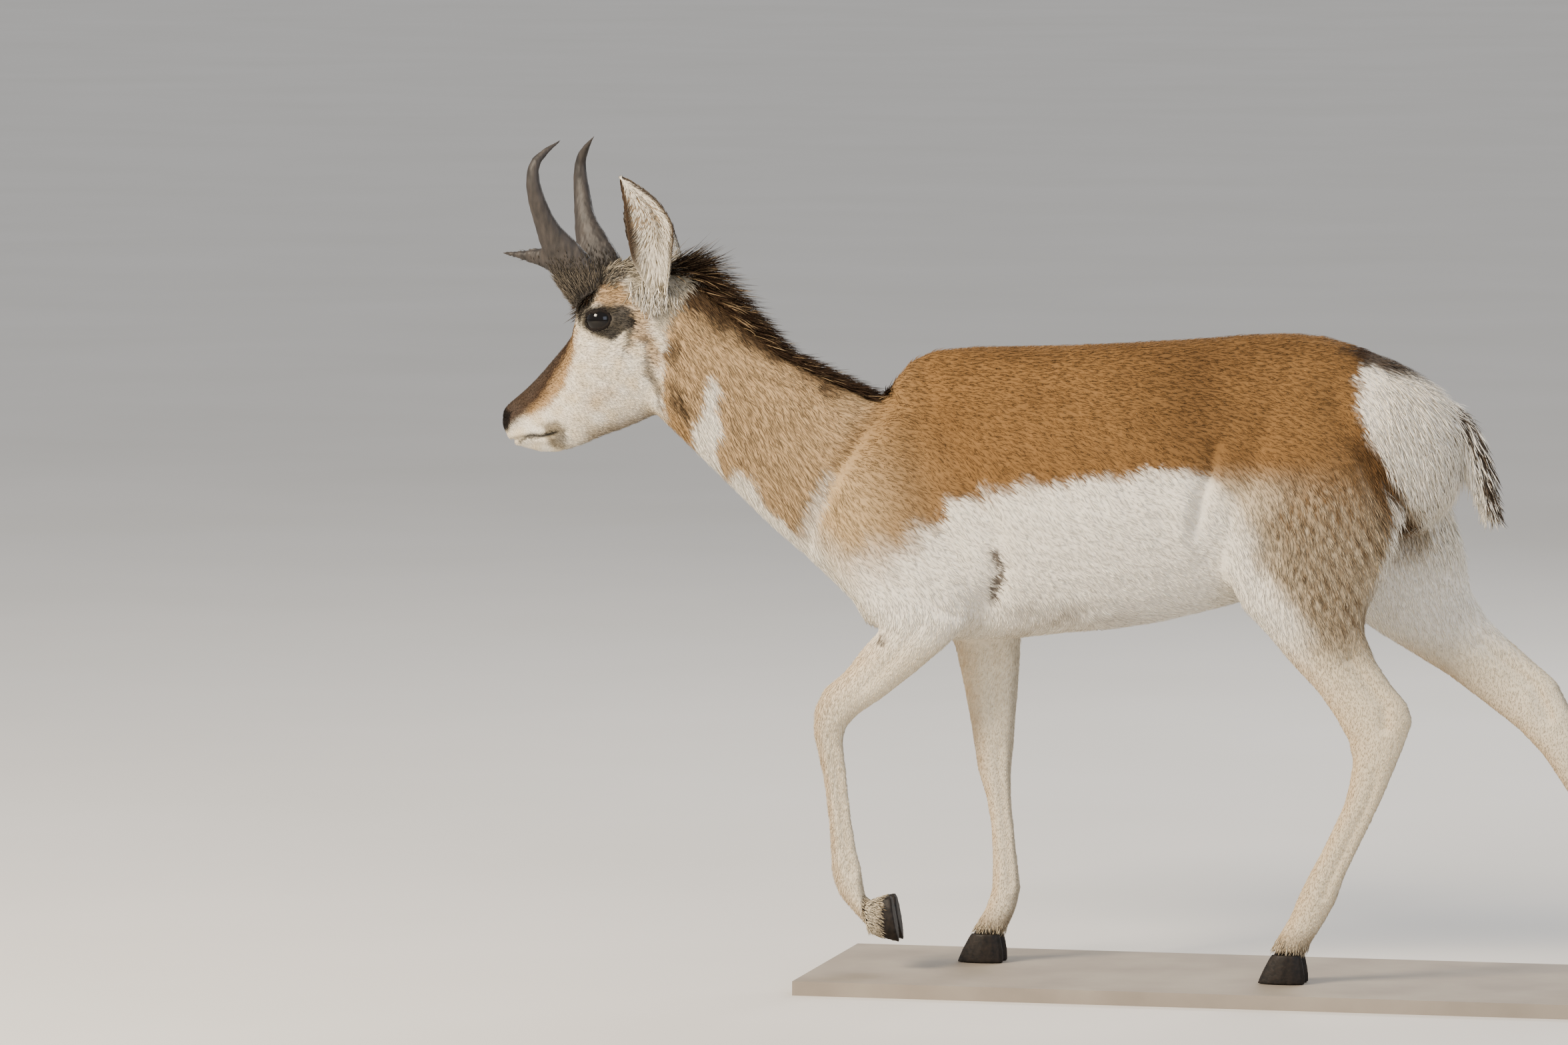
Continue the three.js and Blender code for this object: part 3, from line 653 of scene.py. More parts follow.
def ear_place(name, u, v, depth):
    """A place on the leaf of an ear: u from root to tip, v from rim to rim, depth out of its middle."""
    rows, cup = EARS[name]
    rows = np.array(rows, float)
    steps = np.linspace(0, 1, len(rows))
    fine = np.linspace(0, 1, 90)
    dense = np.stack([np.interp(fine, steps, rows[:, k]) for k in range(5)], 1)
    for _ in range(10):
        dense[1:-1] = (dense[:-2] + 2 * dense[1:-1] + dense[2:]) / 4
    middle = np.stack([np.interp(u, fine, dense[:, k]) for k in range(3)], 1)
    half, deep = np.interp(u, fine, dense[:, 3]), np.interp(u, fine, dense[:, 4])
    axis = unit(rows[-2, :3] - rows[0, :3])
    opening = np.array(cup, float)
    opening = unit(opening - axis * (opening @ axis))
    across = np.cross(axis, opening)
    bowl = 1 - np.abs(v) ** 2.2
    width = half + depth * np.abs(v) ** 3
    local = middle + np.outer(width * v, across) - np.outer(deep * bowl + depth * (1 - v**4), opening)
    return from_head(local)


def build_ear(name):
    steps_u, steps_v = 44, 36
    u, v = np.meshgrid(np.linspace(0, 1, steps_u), np.linspace(-1, 1, steps_v), indexing="ij")
    u, v = u.ravel(), v.ravel()
    wall = 2.6 - 1.4 * np.maximum(v * v, u**3)
    points = np.vstack([ear_place(name, u, v, wall / 2), ear_place(name, u, v, -wall / 2)])
    half = steps_u * steps_v
    grid = np.arange(half).reshape(steps_u, steps_v)
    faces = []
    for i in range(steps_u - 1):
        for k in range(steps_v - 1):
            leaf = [grid[i, k], grid[i, k + 1], grid[i + 1, k + 1], grid[i + 1, k]]
            faces += [leaf, [half + n for n in leaf[::-1]]]
    border = [*grid[:, 0], *grid[-1, 1:], *grid[-2::-1, -1], *grid[0, -2:0:-1]]
    faces += [[a, b, half + b, half + a] for a, b in zip(border, border[1:] + border[:1])]
    ear = mesh_object(name + "_shell", points, [[int(n) for n in face] for face in faces])
    on_whole_mesh(ear, bpy.ops.mesh.normals_make_consistent, inside=False)
    smooth_shaded(ear)
    unwrap(ear)
    # Under the hair the cup itself is tan-grey and the back of the ear pale
    paint(ear, ear_colours(np.tile(u, 2), np.tile(v, 2), np.arange(2 * half) >= half))
    return finished(ear, SKIN, [name])


# Markings


def tones(*codes):
    return [np.array(linear(code)[:3]) for code in codes]


TAN, TAN_DARK, TAN_PALE = tones("#836139", "#583f24", "#c0a47a")
NECK_TAN, ORANGE, PEACH = tones("#b99c74", "#a07c4c", "#c6a67c")
WHITE, CREAM, DUSK = tones("#f0e9da", "#e2d4b6", "#85735a")
UMBER, BLACK, SMOKE = tones("#38281a", "#140f0c", "#6a6256")
BRIDGE, CROWN, STAIN = tones("#36261b", "#a39a87", "#5d4f35")

# Outlines in the side view: x and z of the layout for the body, of the head frame for the head
BODY_PATCHES = {
    "chest": [(23, 615), (52, 600), (82, 562), (129, 517), (160, 495), (160, 440), (82, 440), (-60, 577)],
    "shoulder_line": [(76, 705), (84, 694), (62, 640), (56, 601), (30, 600), (46, 655)],
    "throat_upper": [
        (-102, 829), (-89, 822), (-83, 808), (-86, 728), (-92, 680), (-150, 680), (-127, 751), (-109, 784),
    ],
    "throat_lower": [(-66, 700), (-38, 692), (-13, 651), (26, 610), (20, 570), (-110, 660)],
    "nape_dark": [
        (-215, 1000), (-150, 925), (-115, 912), (-63, 886), (5, 848), (72, 812), (146, 800), (150, 850),
        (14, 930), (-100, 1020),
    ],
    "neck_spot": [(-165, 884), (-147, 882), (-149, 852), (-159, 854), (-167, 868)],
    "neck_streak": [(-165, 821), (-156, 817), (-141, 800), (-129, 770), (-134, 768), (-151, 793)],
    "jaw_orange": [
        (-188, 896), (-167, 896), (-167, 863), (-176, 835), (-164, 807), (-135, 765), (-116, 725),
        (-160, 725), (-180, 780), (-190, 853),
    ],
    "thigh_white": [
        (590, 680), (637, 690), (672, 650), (700, 590), (735, 530), (770, 470), (800, 400), (720, 380),
        (600, 520), (560, 640),
    ],
    "thigh_grey": [
        (741, 709), (796, 741), (843, 734), (898, 628), (867, 566), (851, 474), (820, 427), (773, 472),
        (726, 563), (686, 631),
    ],
    # Painted shade along the rear edge of the thigh
    "thigh_edge": [
        (832, 779), (871, 726), (906, 657), (912, 605), (885, 560), (872, 634), (850, 690), (822, 742),
    ],
    "rump": [
        (826, 861), (832, 792), (865, 731), (901, 678), (914, 617), (889, 563), (865, 524), (1022, 474),
        (1100, 735), (960, 900), (889, 900), (850, 885),
    ],
    "saddle": [
        (782, 915), (855, 915), (941, 880), (951, 828), (925, 836), (887, 852), (832, 860), (800, 878),
    ],
    "tail_dark": [
        (963, 805), (995, 790), (1010, 745), (1040, 707), (1040, 640), (1003, 680), (985, 730), (963, 775),
    ],
    # Painted shade on the lower leg
    "crus_grey": [(790, 480), (880, 500), (905, 430), (925, 374), (893, 350), (862, 403), (831, 426)],
    # Painted shade in the crease at the elbow
    "elbow_dark": [(318, 604), (328, 600), (331, 565), (322, 528), (310, 520), (314, 560)],
    "dark_spot": [(155, 478), (166, 478), (166, 464), (155, 464)],
}
HEAD_PATCHES = {
    "bridge": [
        (-262, -110), (-159, 5), (-126, 30), (-131, -8), (-141, -32), (-159, -63), (-182, -99),
        (-205, -119), (-222, -134), (-235, -143), (-262, -137),
    ],
    "bridge_tan": [
        (-132, 30), (-118, 3), (-119, -25), (-129, -49), (-144, -78), (-167, -107), (-197, -124),
        (-215, -122), (-190, -90), (-160, -45), (-140, -5),
    ],
    "nose": [(-262, -116), (-241, -115), (-231, -120), (-230, -133), (-238, -147), (-262, -144)],
    "eye": [
        (-102, 34), (-73, 40), (-45, 40), (-30, 31), (-30, 11), (-48, 0), (-61, -10), (-86, -4), (-98, 2),
        (-110, 10), (-106, 25),
    ],
    "brow_black": [(-119, 54), (-99, 60), (-91, 51), (-94, 38), (-104, 27), (-112, 8), (-123, 22)],
    "brow_tan": [(-89, 72), (-59, 75), (-41, 62), (-34, 37), (-74, 37), (-91, 41)],
    "streak_rear": [(-37, 20), (-29, 16), (-31, -6), (-40, -24), (-49, -33), (-43, -11)],
    "streak_under": [(-60, 0), (-54, 0), (-62, -14), (-68, -13)],
    "cheek_tan": [
        (-36, 36), (-10, 34), (-4, -1), (10, -33), (2, -53), (-10, -43), (-17, -15), (-30, -11), (-38, -26),
        (-34, 3),
    ],
    "jaw_line": [
        (-20, 1), (-12, -4), (-10, -44), (-3, -55), (5, -72), (2, -109), (-8, -105), (-6, -81), (-20, -58),
        (-17, -25),
    ],
    "stain": [
        (-180, -134), (-158, -127), (-147, -140), (-150, -163), (-158, -173), (-175, -167), (-178, -153),
    ],
    "mouth": [
        (-226, -159), (-204, -149), (-179, -147), (-158, -143), (-156, -147), (-181, -154), (-204, -157),
        (-224, -164),
    ],
    "jaw_brown": [
        (-116, -142), (-65, -124), (-29, -111), (-2, -110), (-2, -130), (-55, -150), (-106, -170),
        (-136, -180),
    ],
    "cheek_soft": [(-112, -89), (-76, -74), (-61, -83), (-91, -108), (-112, -113)],
    "crown": [(-53, 120), (40, 120), (40, 22), (15, -5), (0, 21), (-10, 41), (-33, 50), (-50, 66)],
    "forelock": [(-160, 40), (-126, 22), (-116, 30), (-104, 62), (-92, 80), (-80, 120), (-160, 120)],
}


# Order in which the outlines are laid on: colour, weight and soft edge
NECK_LAYERS = [
    ("chest", WHITE, 0.95, 12), ("shoulder_line", WHITE, 0.7, 8), ("jaw_orange", ORANGE, 0.55, 10),
    ("throat_upper", WHITE, 1, 5), ("throat_lower", WHITE, 1, 5), ("neck_spot", UMBER, 0.75, 6),
    ("neck_streak", UMBER, 0.8, 4), ("nape_dark", UMBER, 0.92, 13),
]
HEAD_LAYERS = [
    ("cheek_soft", ORANGE, 0.3, 12), ("jaw_brown", DUSK, 0.65, 12), ("cheek_tan", ORANGE, 0.7, 8),
    ("brow_tan", ORANGE, 0.85, 7), ("crown", CROWN, 0.85, 9), ("bridge_tan", ORANGE, 0.9, 8),
    ("bridge", BRIDGE, 0.97, 9), ("forelock", UMBER, 0.85, 8), ("jaw_line", UMBER, 0.7, 4),
    ("stain", STAIN, 0.75, 5), ("mouth", BLACK, 0.85, 2.5), ("streak_rear", SMOKE * 0.4, 0.85, 3),
    ("streak_under", SMOKE * 0.4, 0.8, 3), ("brow_black", BLACK, 0.97, 5), ("eye", BLACK, 0.93, 4),
    ("nose", BLACK, 0.98, 3),
]
NECK_REAR = [(560, 30), (700, 74), (812, 140), (1000, 150)]
# Where the white of the belly ends, by x, and how softly
BELLY_LINE = [
    (-60, 540), (20, 575), (60, 605), (113, 572), (184, 592), (231, 634), (246, 664),
    (293, 674), (340, 681), (434, 697), (560, 719), (619, 708), (650, 690),
]
BELLY_EDGE = [(0, 40), (150, 52), (200, 45), (240, 14), (600, 9)]
HEAD_REAR = [(-140, 2), (-110, 4), (-60, 8), (-5, 14), (22, 20), (60, 42), (120, 52)]


def blend(colour, target, weight):
    return colour + (target - colour) * np.clip(weight, 0, 1)[:, None]


def layered(colour, *layers):
    """A colour with others laid over it by weight."""
    for target, weight in layers:
        colour = blend(colour, target, weight)
    return colour


def mirrored(points):
    """Both sides brought onto one, for markings that match."""
    return np.stack([points[:, 0], np.abs(points[:, 1]), points[:, 2]], 1)


def patcher(outlines, u, v):
    """A function for the share of a named outline, 1 inside and 0 outside, with a soft edge."""
    return lambda name, soft: ease(-soft, soft, polygon_distance(u, v, outlines[name]))


def body_colours(points, out):
    x, y, z = points.T
    wob = ripple(mirrored(points), 60, 11) * 5 + ripple(mirrored(points), 17, 12) * 3.5
    u, v = x + wob, z + 0.7 * np.roll(wob, 1)
    outward = out[:, 1] * np.sign(y)
    # 1 on the left side, where more shade is painted on the thigh and the lower leg
    near = ease(-10, 10, -y)
    patch = patcher(BODY_PATCHES, u, v)
    # Back, shoulder, neck and belly
    loin = bell(u, 600, 55) * ease(660, 780, z) * ease(930, 860, z)
    shoulder = np.exp(-(((x - 90) / 110) ** 2) - ((z - 640) / 90) ** 2)
    neck = ease(14, -14, u - along(NECK_REAR, v))
    low = ease(-1, 1, (along(BELLY_LINE, u) - z + wob) / along(BELLY_EDGE, u))
    colour = layered(
        np.tile(TAN, (len(x), 1)),
        (TAN_DARK, 0.3 * ease(800, 900, z) + 0.16 * ripple(points, 90, 13)),
        (TAN_DARK, 0.55 * loin),
        (TAN_PALE, 0.8 * shoulder + 0.35 * ease(240, 60, x)),
        (NECK_TAN, neck),
        (UMBER, neck * 0.22 * ease(0.1, 0.9, ripple(points * [0.5, 1, 0.5], 10, 14))),
        (WHITE, low * ease(660, 625, u)),
        (CREAM, 0.6 * ease(140, 60, x) * ease(470, 560, z) * low),
        (WHITE, ease(-0.35, -0.7, out[:, 2]) * ease(150, 260, x) * ease(640, 600, z)),
        *[(target, amount * patch(name, edge)) for name, target, amount, edge in NECK_LAYERS],
    )
    # Thigh
    # Grey-brown on the downward faces of the belly: partly a stain, partly painted shade under the belly
    stain = bell(x, 400, 110) * ease(-0.1, -0.75, out[:, 2])
    stain = stain * (0.5 + 0.5 * ripple(points, 30, 16))
    thigh = ease(600, 640, u) * ease(760, 690, z)
    colour = layered(
        colour,
        # Painted shade under the belly, with its stain
        (DUSK, 0.45 * stain * ease(560, 500, z)),
        (CREAM, 0.75 * thigh * ease(740, 660, z)),
    )
    speck = 0.5 + 0.5 * ripple(points * [1, 1, 0.6], 15, 15)
    brown = DUSK + (TAN * 0.9 - DUSK) * (ease(600, 720, z) * 0.8)[:, None]
    grey = patch("thigh_grey", 38)
    colour += (brown - colour) * (grey * (0.6 + 0.4 * speck))[:, None]
    rear = ease(0.55, 0.8, out[:, 0]) * ease(810, 850, x) * ease(850, 830, z) * ease(520, 600, z)
    leg = ease(500, 430, z)
    return layered(
        colour,
        (UMBER, grey * 0.3 * ease(0.5, 0.9, speck)),
        (WHITE, 0.95 * patch("thigh_white", 24)),
        # Painted shade: grey-brown over the left lower leg only
        (DUSK, 0.7 * patch("crus_grey", 12) * near),
        # Painted shade: darker tan along the rear edge of the thigh, stronger on the left side
        (TAN_DARK, 0.9 * patch("thigh_edge", 13) * (0.3 + 0.7 * near)),
        (WHITE, ease(-0.1, -0.5, outward) * ease(640, 560, z)),
        (WHITE, patch("rump", 5)),
        (WHITE, rear),
        (UMBER, 0.95 * patch("saddle", 9)),
        (UMBER, 0.75 * patch("tail_dark", 6) * ease(0.25, 0.7, speck)),
        # Painted shade: a dark streak in the crease at the elbow, on the outer faces
        (UMBER, 0.9 * patch("elbow_dark", 4) * (outward > 0)),
        # Lower legs
        (CREAM, leg * 0.8),
        (PEACH, leg * 0.55 * ease(0.1, -0.6, out[:, 0]) * (0.6 + 0.4 * speck)),
        (SMOKE, leg * 0.5 * ease(0.45, 0.9, out[:, 0]) * ease(0.5, -0.2, outward)),
        (DUSK, 0.6 * ease(85, 55, z) * ease(110, 90, z)),
        (UMBER, 0.8 * patch("dark_spot", 3) * (y < 0)),
    )


def head_colours(points, out):
    head = to_head(points)
    x, z = head[:, 0], head[:, 2]
    wob = ripple(mirrored(head), 15, 21) * 2.2
    patch = patcher(HEAD_PATCHES, x + wob, z + 0.6 * np.roll(wob, 1))
    # Grey-brown on the downward faces under the head: partly its brownish hair, partly painted shade under
    # the jaw
    under = ease(-0.5, -0.85, out[:, 2]) * ease(-30, -110, z)
    return layered(
        np.tile(WHITE, (len(x), 1)),
        (CREAM, 0.5 + 0.3 * ripple(head, 30, 22)),
        *[(target, amount * patch(name, edge)) for name, target, amount, edge in HEAD_LAYERS],
        # Painted shade under the jaw, with its brownish hair
        (DUSK, 0.35 * under * (x > -150)),
    )


def markings(points, out):
    head = to_head(points)
    on_head = ease(5, -5, head[:, 0] - along(HEAD_REAR, head[:, 2]) + ripple(points, 16, 31) * 3)
    return blend(body_colours(points, out), head_colours(points, out), on_head)


# Lie of the coat


def lie(points, out):
    """The way the hair runs: from the nose back, down the neck and sides, down the legs."""
    x, _, z = points.T
    run = np.stack([np.full(len(x), 0.86), 0 * x, -0.28 - 0.35 * ease(820, 640, z)], 1)
    for way, weight in (
        # Neck, rump, thigh, forearm and shin
        ((0.62, 0.0, -0.78), ease(120, 20, x - (z - 700) * 0.2)),
        ((0.35, 0.0, -0.94), ease(760, 900, x) * ease(900, 820, z)),
        ((0.3, 0.0, -0.95), ease(620, 700, x) * ease(760, 640, z)),
        ((-0.35, 0.0, -0.94), ease(560, 470, z) * ease(330, 280, np.abs(x - 150))),
        ((0.0, 0.0, -1.0), ease(430, 340, z)),
    ):
        run = mix(run, np.array(way), weight[:, None])
    head = to_head(points)
    face = np.stack([np.full(len(x), 0.93), 0 * x, -0.12 - 0.3 * ease(-20, -90, head[:, 2])], 1)
    bridge = ease(0.0, 0.55, out[:, 2])[:, None] * ease(-100, -140, head[:, 0])[:, None]
    face = mix(face, np.array([0.6, 0.0, 0.8]), bridge)
    run = mix(run, face @ HEAD_AXES, ease(25, -15, head[:, 0])[:, None])
    stray = [ripple(points, size, seed) for size, seed in ((110, 41), (120, 42), (100, 43))]
    return level(run + 0.07 * np.stack(stray, 1), out)


# Half the size of a tuft's patch on the bake's map
PATCH_REACH = 0.0015
# How many tufts and locks are grown
EAR_TUFTS, CORONET_LOCKS, MANE_LOCKS, TAIL_LOCKS = 1950, 430, 3100, 1900
# Each tuft covers this many times the area that hair_size works out
SPACING = 1.05


def hair_size(points):
    """Length, breadth, lift from the skin in degrees and area that each tuft covers, in mm."""
    x, _, z = points.T
    head = to_head(points)
    leg = ease(520, 400, z)
    rump = ease(830, 880, x) * ease(560, 640, z)
    neck = ease(150, 60, x)
    muzzle = ease(-120, -200, head[:, 0])
    body_and_head = (
        (15 + 4 * neck + 18 * rump - 8.5 * leg, 9.5 - 5 * muzzle),
        (1.25 + 0.25 * rump - 0.4 * leg, 0.95 - 0.3 * muzzle),
        (9 + 5 * rump + 3 * neck - 2 * leg, 11 - 2 * muzzle),
        (17.5 - 2.5 * rump - 3 * neck - 9.5 * leg, 6.4 - 2.6 * muzzle),
    )
    on_head = ease(30, 0, head[:, 0])
    length, breadth, lift, area = (mix(body, face, on_head) for body, face in body_and_head)
    return length, breadth, lift, area * SPACING


def sow(obj, seed, area_of, keep):
    """Roots spread evenly over a mesh: place, normal and bake-map place, and the seeded draws."""
    rng = np.random.default_rng(seed)
    data = obj.data
    data.calc_loop_triangles()
    verts = read(data.loop_triangles, "vertices", 3, np.int32)
    uvs = read(data.uv_layers["OFBake"].data, "uv", 2)[read(data.loop_triangles, "loops", 3, np.int32)]
    points, out = places(obj), normals(obj)
    corners = points[verts]
    centres = corners.mean(1)
    normal = np.cross(corners[:, 1] - corners[:, 0], corners[:, 2] - corners[:, 0])
    wanted = np.linalg.norm(normal, axis=1) / 2 / area_of(centres)
    wanted *= keep(centres, unit(out[verts].mean(1)))
    total = np.cumsum(wanted)
    count = int(total[-1])
    pick = np.searchsorted(total, (np.arange(count) + rng.uniform(0, 1, count)) * total[-1] / count)
    pick = np.minimum(pick, len(verts) - 1)
    a, b = rng.uniform(0, 1, (2, count))
    flip = a + b > 1
    a, b = np.where(flip, 1 - a, a), np.where(flip, 1 - b, b)
    weights = np.stack([1 - a - b, a, b], 1)[:, :, None]
    place = (corners[pick] * weights).sum(1)
    normal = unit((out[verts[pick]] * weights).sum(1))
    return place, normal, (uvs[pick] * weights).sum(1), rng


def strands(name, spines, flats, widths, thicks, colours, uvs):
    """One mesh of closed three-sided tufts. spines and colours are tufts x rings x 3, the tip last."""
    count, rings = spines.shape[:2]
    runs = unit(np.gradient(spines, axis=1))
    side = unit(flats[:, None, :] - runs * np.sum(flats[:, None, :] * runs, 2, keepdims=True))
    ridge = np.cross(runs, side)
    w, t = widths[:, :, None] / 2, thicks[:, :, None]
    body = np.stack([spines - side * w, spines + side * w, spines + ridge * t], 2)
    points = np.concatenate([body[:, :-1].reshape(count, -1, 3), spines[:, -1:]], 1)
    per = points.shape[1]
    # Corners of one tuft: a base, two faces a side between rings, and the tip
    faces = [[0, 2, 1]]
    for a in range(0, 3 * (rings - 2), 3):
        for k, n in ((0, 1), (1, 2), (2, 0)):
            faces += [[a + k, a + n, a + 3 + n], [a + k, a + 3 + n, a + 3 + k]]
    a = 3 * (rings - 2)
    faces += [[a, a + 1, per - 1], [a + 1, a + 2, per - 1], [a + 2, a, per - 1]]
    index = (np.arange(count)[:, None, None] * per + np.array(faces)[None]).reshape(-1, 3)
    data = bpy.data.meshes.new(name)
    data.vertices.add(count * per)
    data.vertices.foreach_set("co", to_scene(points.reshape(-1, 3)).astype(np.float32).ravel())
    data.loops.add(index.size)
    data.loops.foreach_set("vertex_index", index.ravel().astype(np.int32))
    data.polygons.add(len(index))
    data.polygons.foreach_set("loop_start", np.arange(0, index.size, 3, dtype=np.int32))
    data.polygons.foreach_set("loop_total", np.full(len(index), 3, np.int32))
    data.update(calc_edges=True)
    spread = np.linspace(-PATCH_REACH, PATCH_REACH, per)
    patch = np.stack([spread, np.where(np.arange(per) % 2, PATCH_REACH, -PATCH_REACH)], 1)
    uv = np.clip(uvs[:, None, :] + patch[None], 0.001, 0.999).reshape(-1, 2)
    layer = data.uv_layers.new(name="OFBake")
    layer.data.foreach_set("uv", uv[index.ravel()].astype(np.float32).ravel())
    made = linked(name, data)
    shades = np.concatenate([np.repeat(colours[:, :-1], 3, 1), colours[:, -1:]], 1)
    paint(made, np.clip(shades, 0, 1).reshape(-1, 3))
    finished(made, HAIR)


def short_hair(place, run, out, length, tilt, reach, ease_off):
    """Root, middle and tip of short hairs that leave the skin at a tilt and then lie flatter."""
    middle = place + (run * np.cos(tilt)[:, None] + out * np.sin(tilt)[:, None]) * (length * 0.45)[:, None]
    tip = place + run * (length * reach)[:, None] + out * (np.sin(tilt * ease_off) * length)[:, None]
    return np.stack([place - out, middle, tip], 1)


# Regions of the coat with the slot of each
REGIONS = [
    ("head", "coat_face"), ("neck", "coat_tan"), ("forelegs", "coat_white"), ("hindlegs", "coat_white"),
    ("shoulder", "coat_tan"), ("flank", "coat_tan"), ("rump", "coat_tan"),
]
MOST_TUFTS = 19000


def grow_coat():
    """Short hair over the whole skin, in pieces by region."""
    bare = lambda centre, normal: 1.0 - (eye_clearance(centre) < 1)
    place, out, uv, rng = sow(skin, 101, lambda centre: hair_size(centre)[3], bare)
    length, breadth, lift, _ = hair_size(place)
    count = len(place)
    run = lie(place, out)
    side = np.cross(out, run)
    run = unit(run + side * rng.normal(0, 0.13, (count, 1)))
    length = length * rng.uniform(0.7, 1.2, count)
    tilt = np.radians(lift * rng.uniform(0.6, 1.5, count))
    spines = short_hair(place, run, out, length, tilt, 0.98, 0.75)
    spines[:, 2] += side * (rng.normal(0, 0.06, count) * length)[:, None]
    colour = markings(place, out)
    shade = rng.normal(1.0, 0.07, count)
    dark = colour.sum(1) < 1.1
    shade += np.where(dark, rng.normal(0, 0.09, count), 0)
    neck = ease(170, 100, place[:, 0]) * ease(520, 600, place[:, 2]) * dark
    shade -= neck * 0.4 * (rng.uniform(0, 1, count) < 0.22)
    colour = colour * np.clip(shade, 0.35, 1.35)[:, None]
    tones = np.stack([colour * share for share in (0.96, 1.06, 1.12)], 1)
    widths = np.stack([breadth * share for share in (0.7, 1, 0.2)], 1)
    thicks = np.stack([breadth * share for share in (0.15, 0.22, 0.08)], 1)
    x, y, z = place.T
    region = np.select(
        [to_head(place)[:, 0] < 20, (z < 470) & (x < 450), x < 130, z < 470, x < 400, x < 650],
        [0, 2, 1, 3, 4, 5],
        6,
    )
    for k, (name, slot) in enumerate(REGIONS):
        for half, chosen in (("left", y < 0), ("right", y >= 0)):
            which = np.flatnonzero((region == k) & chosen)
            for n in range(0, len(which), MOST_TUFTS):
                w = which[n : n + MOST_TUFTS]
                label = f"coat_{name}_{half}" + (f"_{n // MOST_TUFTS + 1}" if len(which) > MOST_TUFTS else "")
                strands(label, spines[w], side[w], widths[w], thicks[w], tones[w], uv[w])


def eye_clearance(points):
    """Below 1 inside the ring of bare lids."""
    head = to_head(points)
    nearest = np.full(len(points), 9.0)
    for side in SIDES:
        offset, polar, turn = eye_angles(head, side)
        ratio = polar / (lid_angle(turn) + 0.09)
        near = (np.linalg.norm(offset, axis=1) < BESIDE_EYE + 2) & (head[:, 1] * side > 0)
        nearest = np.where(near, np.minimum(nearest, ratio), nearest)
    return nearest


def ear_colours(u, v, behind):
    """Tan-grey where behind is true and pale elsewhere, with a dark rim that is broadest at the tip."""
    rim = ease(0.80, 0.96, np.abs(v)) + ease(0.86, 0.97, u)
    streak = bell(v, 0.05, 0.16) * ease(0.18, 0.4, u) * ease(0.85, 0.6, u)
    # Painted shade: a grey line for a fold in the cup
    fold_shade = bell(v, -0.35, 0.1) * ease(0.3, 0.5, u) * ease(0.9, 0.7, u)
    pale = layered(np.tile(WHITE * 0.86, (len(u), 1)), (SMOKE * 0.7, 0.65 * streak), (SMOKE, 0.3 * fold_shade))
    back = blend(np.tile(CROWN, (len(u), 1)), TAN, 0.55 * ease(0.2, 0.6, u) * ease(1.0, 0.2, v))
    colour = np.where(behind[:, None], back, pale)
    return blend(colour, UMBER * 0.8, 0.95 * np.clip(rim, 0, 1) * ease(0.12, 0.32, u))


def grow_ears(shells):
    """Longer pale hair in the cups, from the root towards the tip, and short hair on the backs."""
    count = EAR_TUFTS
    for seed, (name, shell) in enumerate(shells.items(), 301):
        rng = np.random.default_rng(seed)
        sets = []
        for behind in (False, True):
            u = rng.uniform(0.02, 0.97, count) ** 0.85
            v = rng.uniform(-1, 1, count)
            depth = np.full(count, 0.9 if behind else -0.9)
            here = ear_place(name, u, v, depth)
            ahead = ear_place(name, np.minimum(u + 0.02, 1), v * (1 if behind else 0.93), depth)
            aside = ear_place(name, u, np.clip(v + 0.03, -1, 1), depth)
            run = unit(ahead - here)
            out = unit(np.cross(run, aside - here))
            away = ear_place(name, u, v, depth * 2) - here
            out *= np.sign(np.sum(out * away, 1, keepdims=True))
            length = np.where(behind, 7.0, 11 + 9 * ease(0.5, 0.1, u)) * rng.uniform(0.7, 1.2, count)
            length *= 1 - 0.55 * ease(0.8, 1.0, u)
            tilt = np.radians(rng.uniform(8, 20, count) + (0 if behind else 8))
            spines = short_hair(here, run, out, length, tilt, 1, 0.8)
            shade = rng.normal(1, 0.1, (count, 1)).clip(0.6, 1.3)
            colour = ear_colours(u, v, np.full(count, behind)) * shade
            sets.append((spines, np.cross(out, run), colour, out, rng.uniform(1.0, 1.7, count)))
        spines, side, colour, out, breadth = (np.concatenate(k) for k in zip(*sets))
        widths = np.stack([breadth * share for share in (0.7, 1, 0.2)], 1)
        uv = nearest_on(shell, spines[:, 0] + 2 * out)[2]
        tones = np.repeat(colour[:, None], 3, 1)
        strands(name + "_hair", spines, side, widths, widths * 0.3, tones, uv)


def grow_locks(name, rng, spots, length, width, lift, colours, rings=5, droop=0.0, curl=0.12):
    """Long hair: tapered locks that leave the skin at an angle and bend over. spots holds the
    roots, the ways they run, the normals and the bake-map places."""
    roots, runs, outs, uv = spots
    count = len(roots)
    t = np.linspace(0, 1, rings)[None, :, None]
    tilt = np.radians(lift * rng.uniform(0.7, 1.25, count))[:, None, None]
    side = np.cross(outs, runs)
    start = runs[:, None] * np.cos(tilt) + outs[:, None] * np.sin(tilt)
    reach = (length * rng.uniform(0.7, 1.15, count))[:, None, None]
    sway = side[:, None] * rng.normal(0, curl, (count, 1, 1))
    sway = sway + outs[:, None] * rng.normal(0, curl * 0.5, (count, 1, 1))
    spines = roots[:, None] + start * (t - 0.06) * reach + sway * t**2 * reach
    spines[:, :, 2:] -= droop * t**2 * reach
    taper = np.sin(math.pi * (0.28 + 0.70 * np.linspace(0, 1, rings)))[None] ** 0.9
    widths = (width * rng.uniform(0.7, 1.3, count))[:, None] * taper
    tone = np.linspace(0.8, 1.12, rings)[None, :, None] * rng.normal(1, 0.13, (count, 1, 1)).clip(0.6, 1.4)
    strands(name, spines, side, widths, widths * 0.4, colours[:, None] * tone, uv)


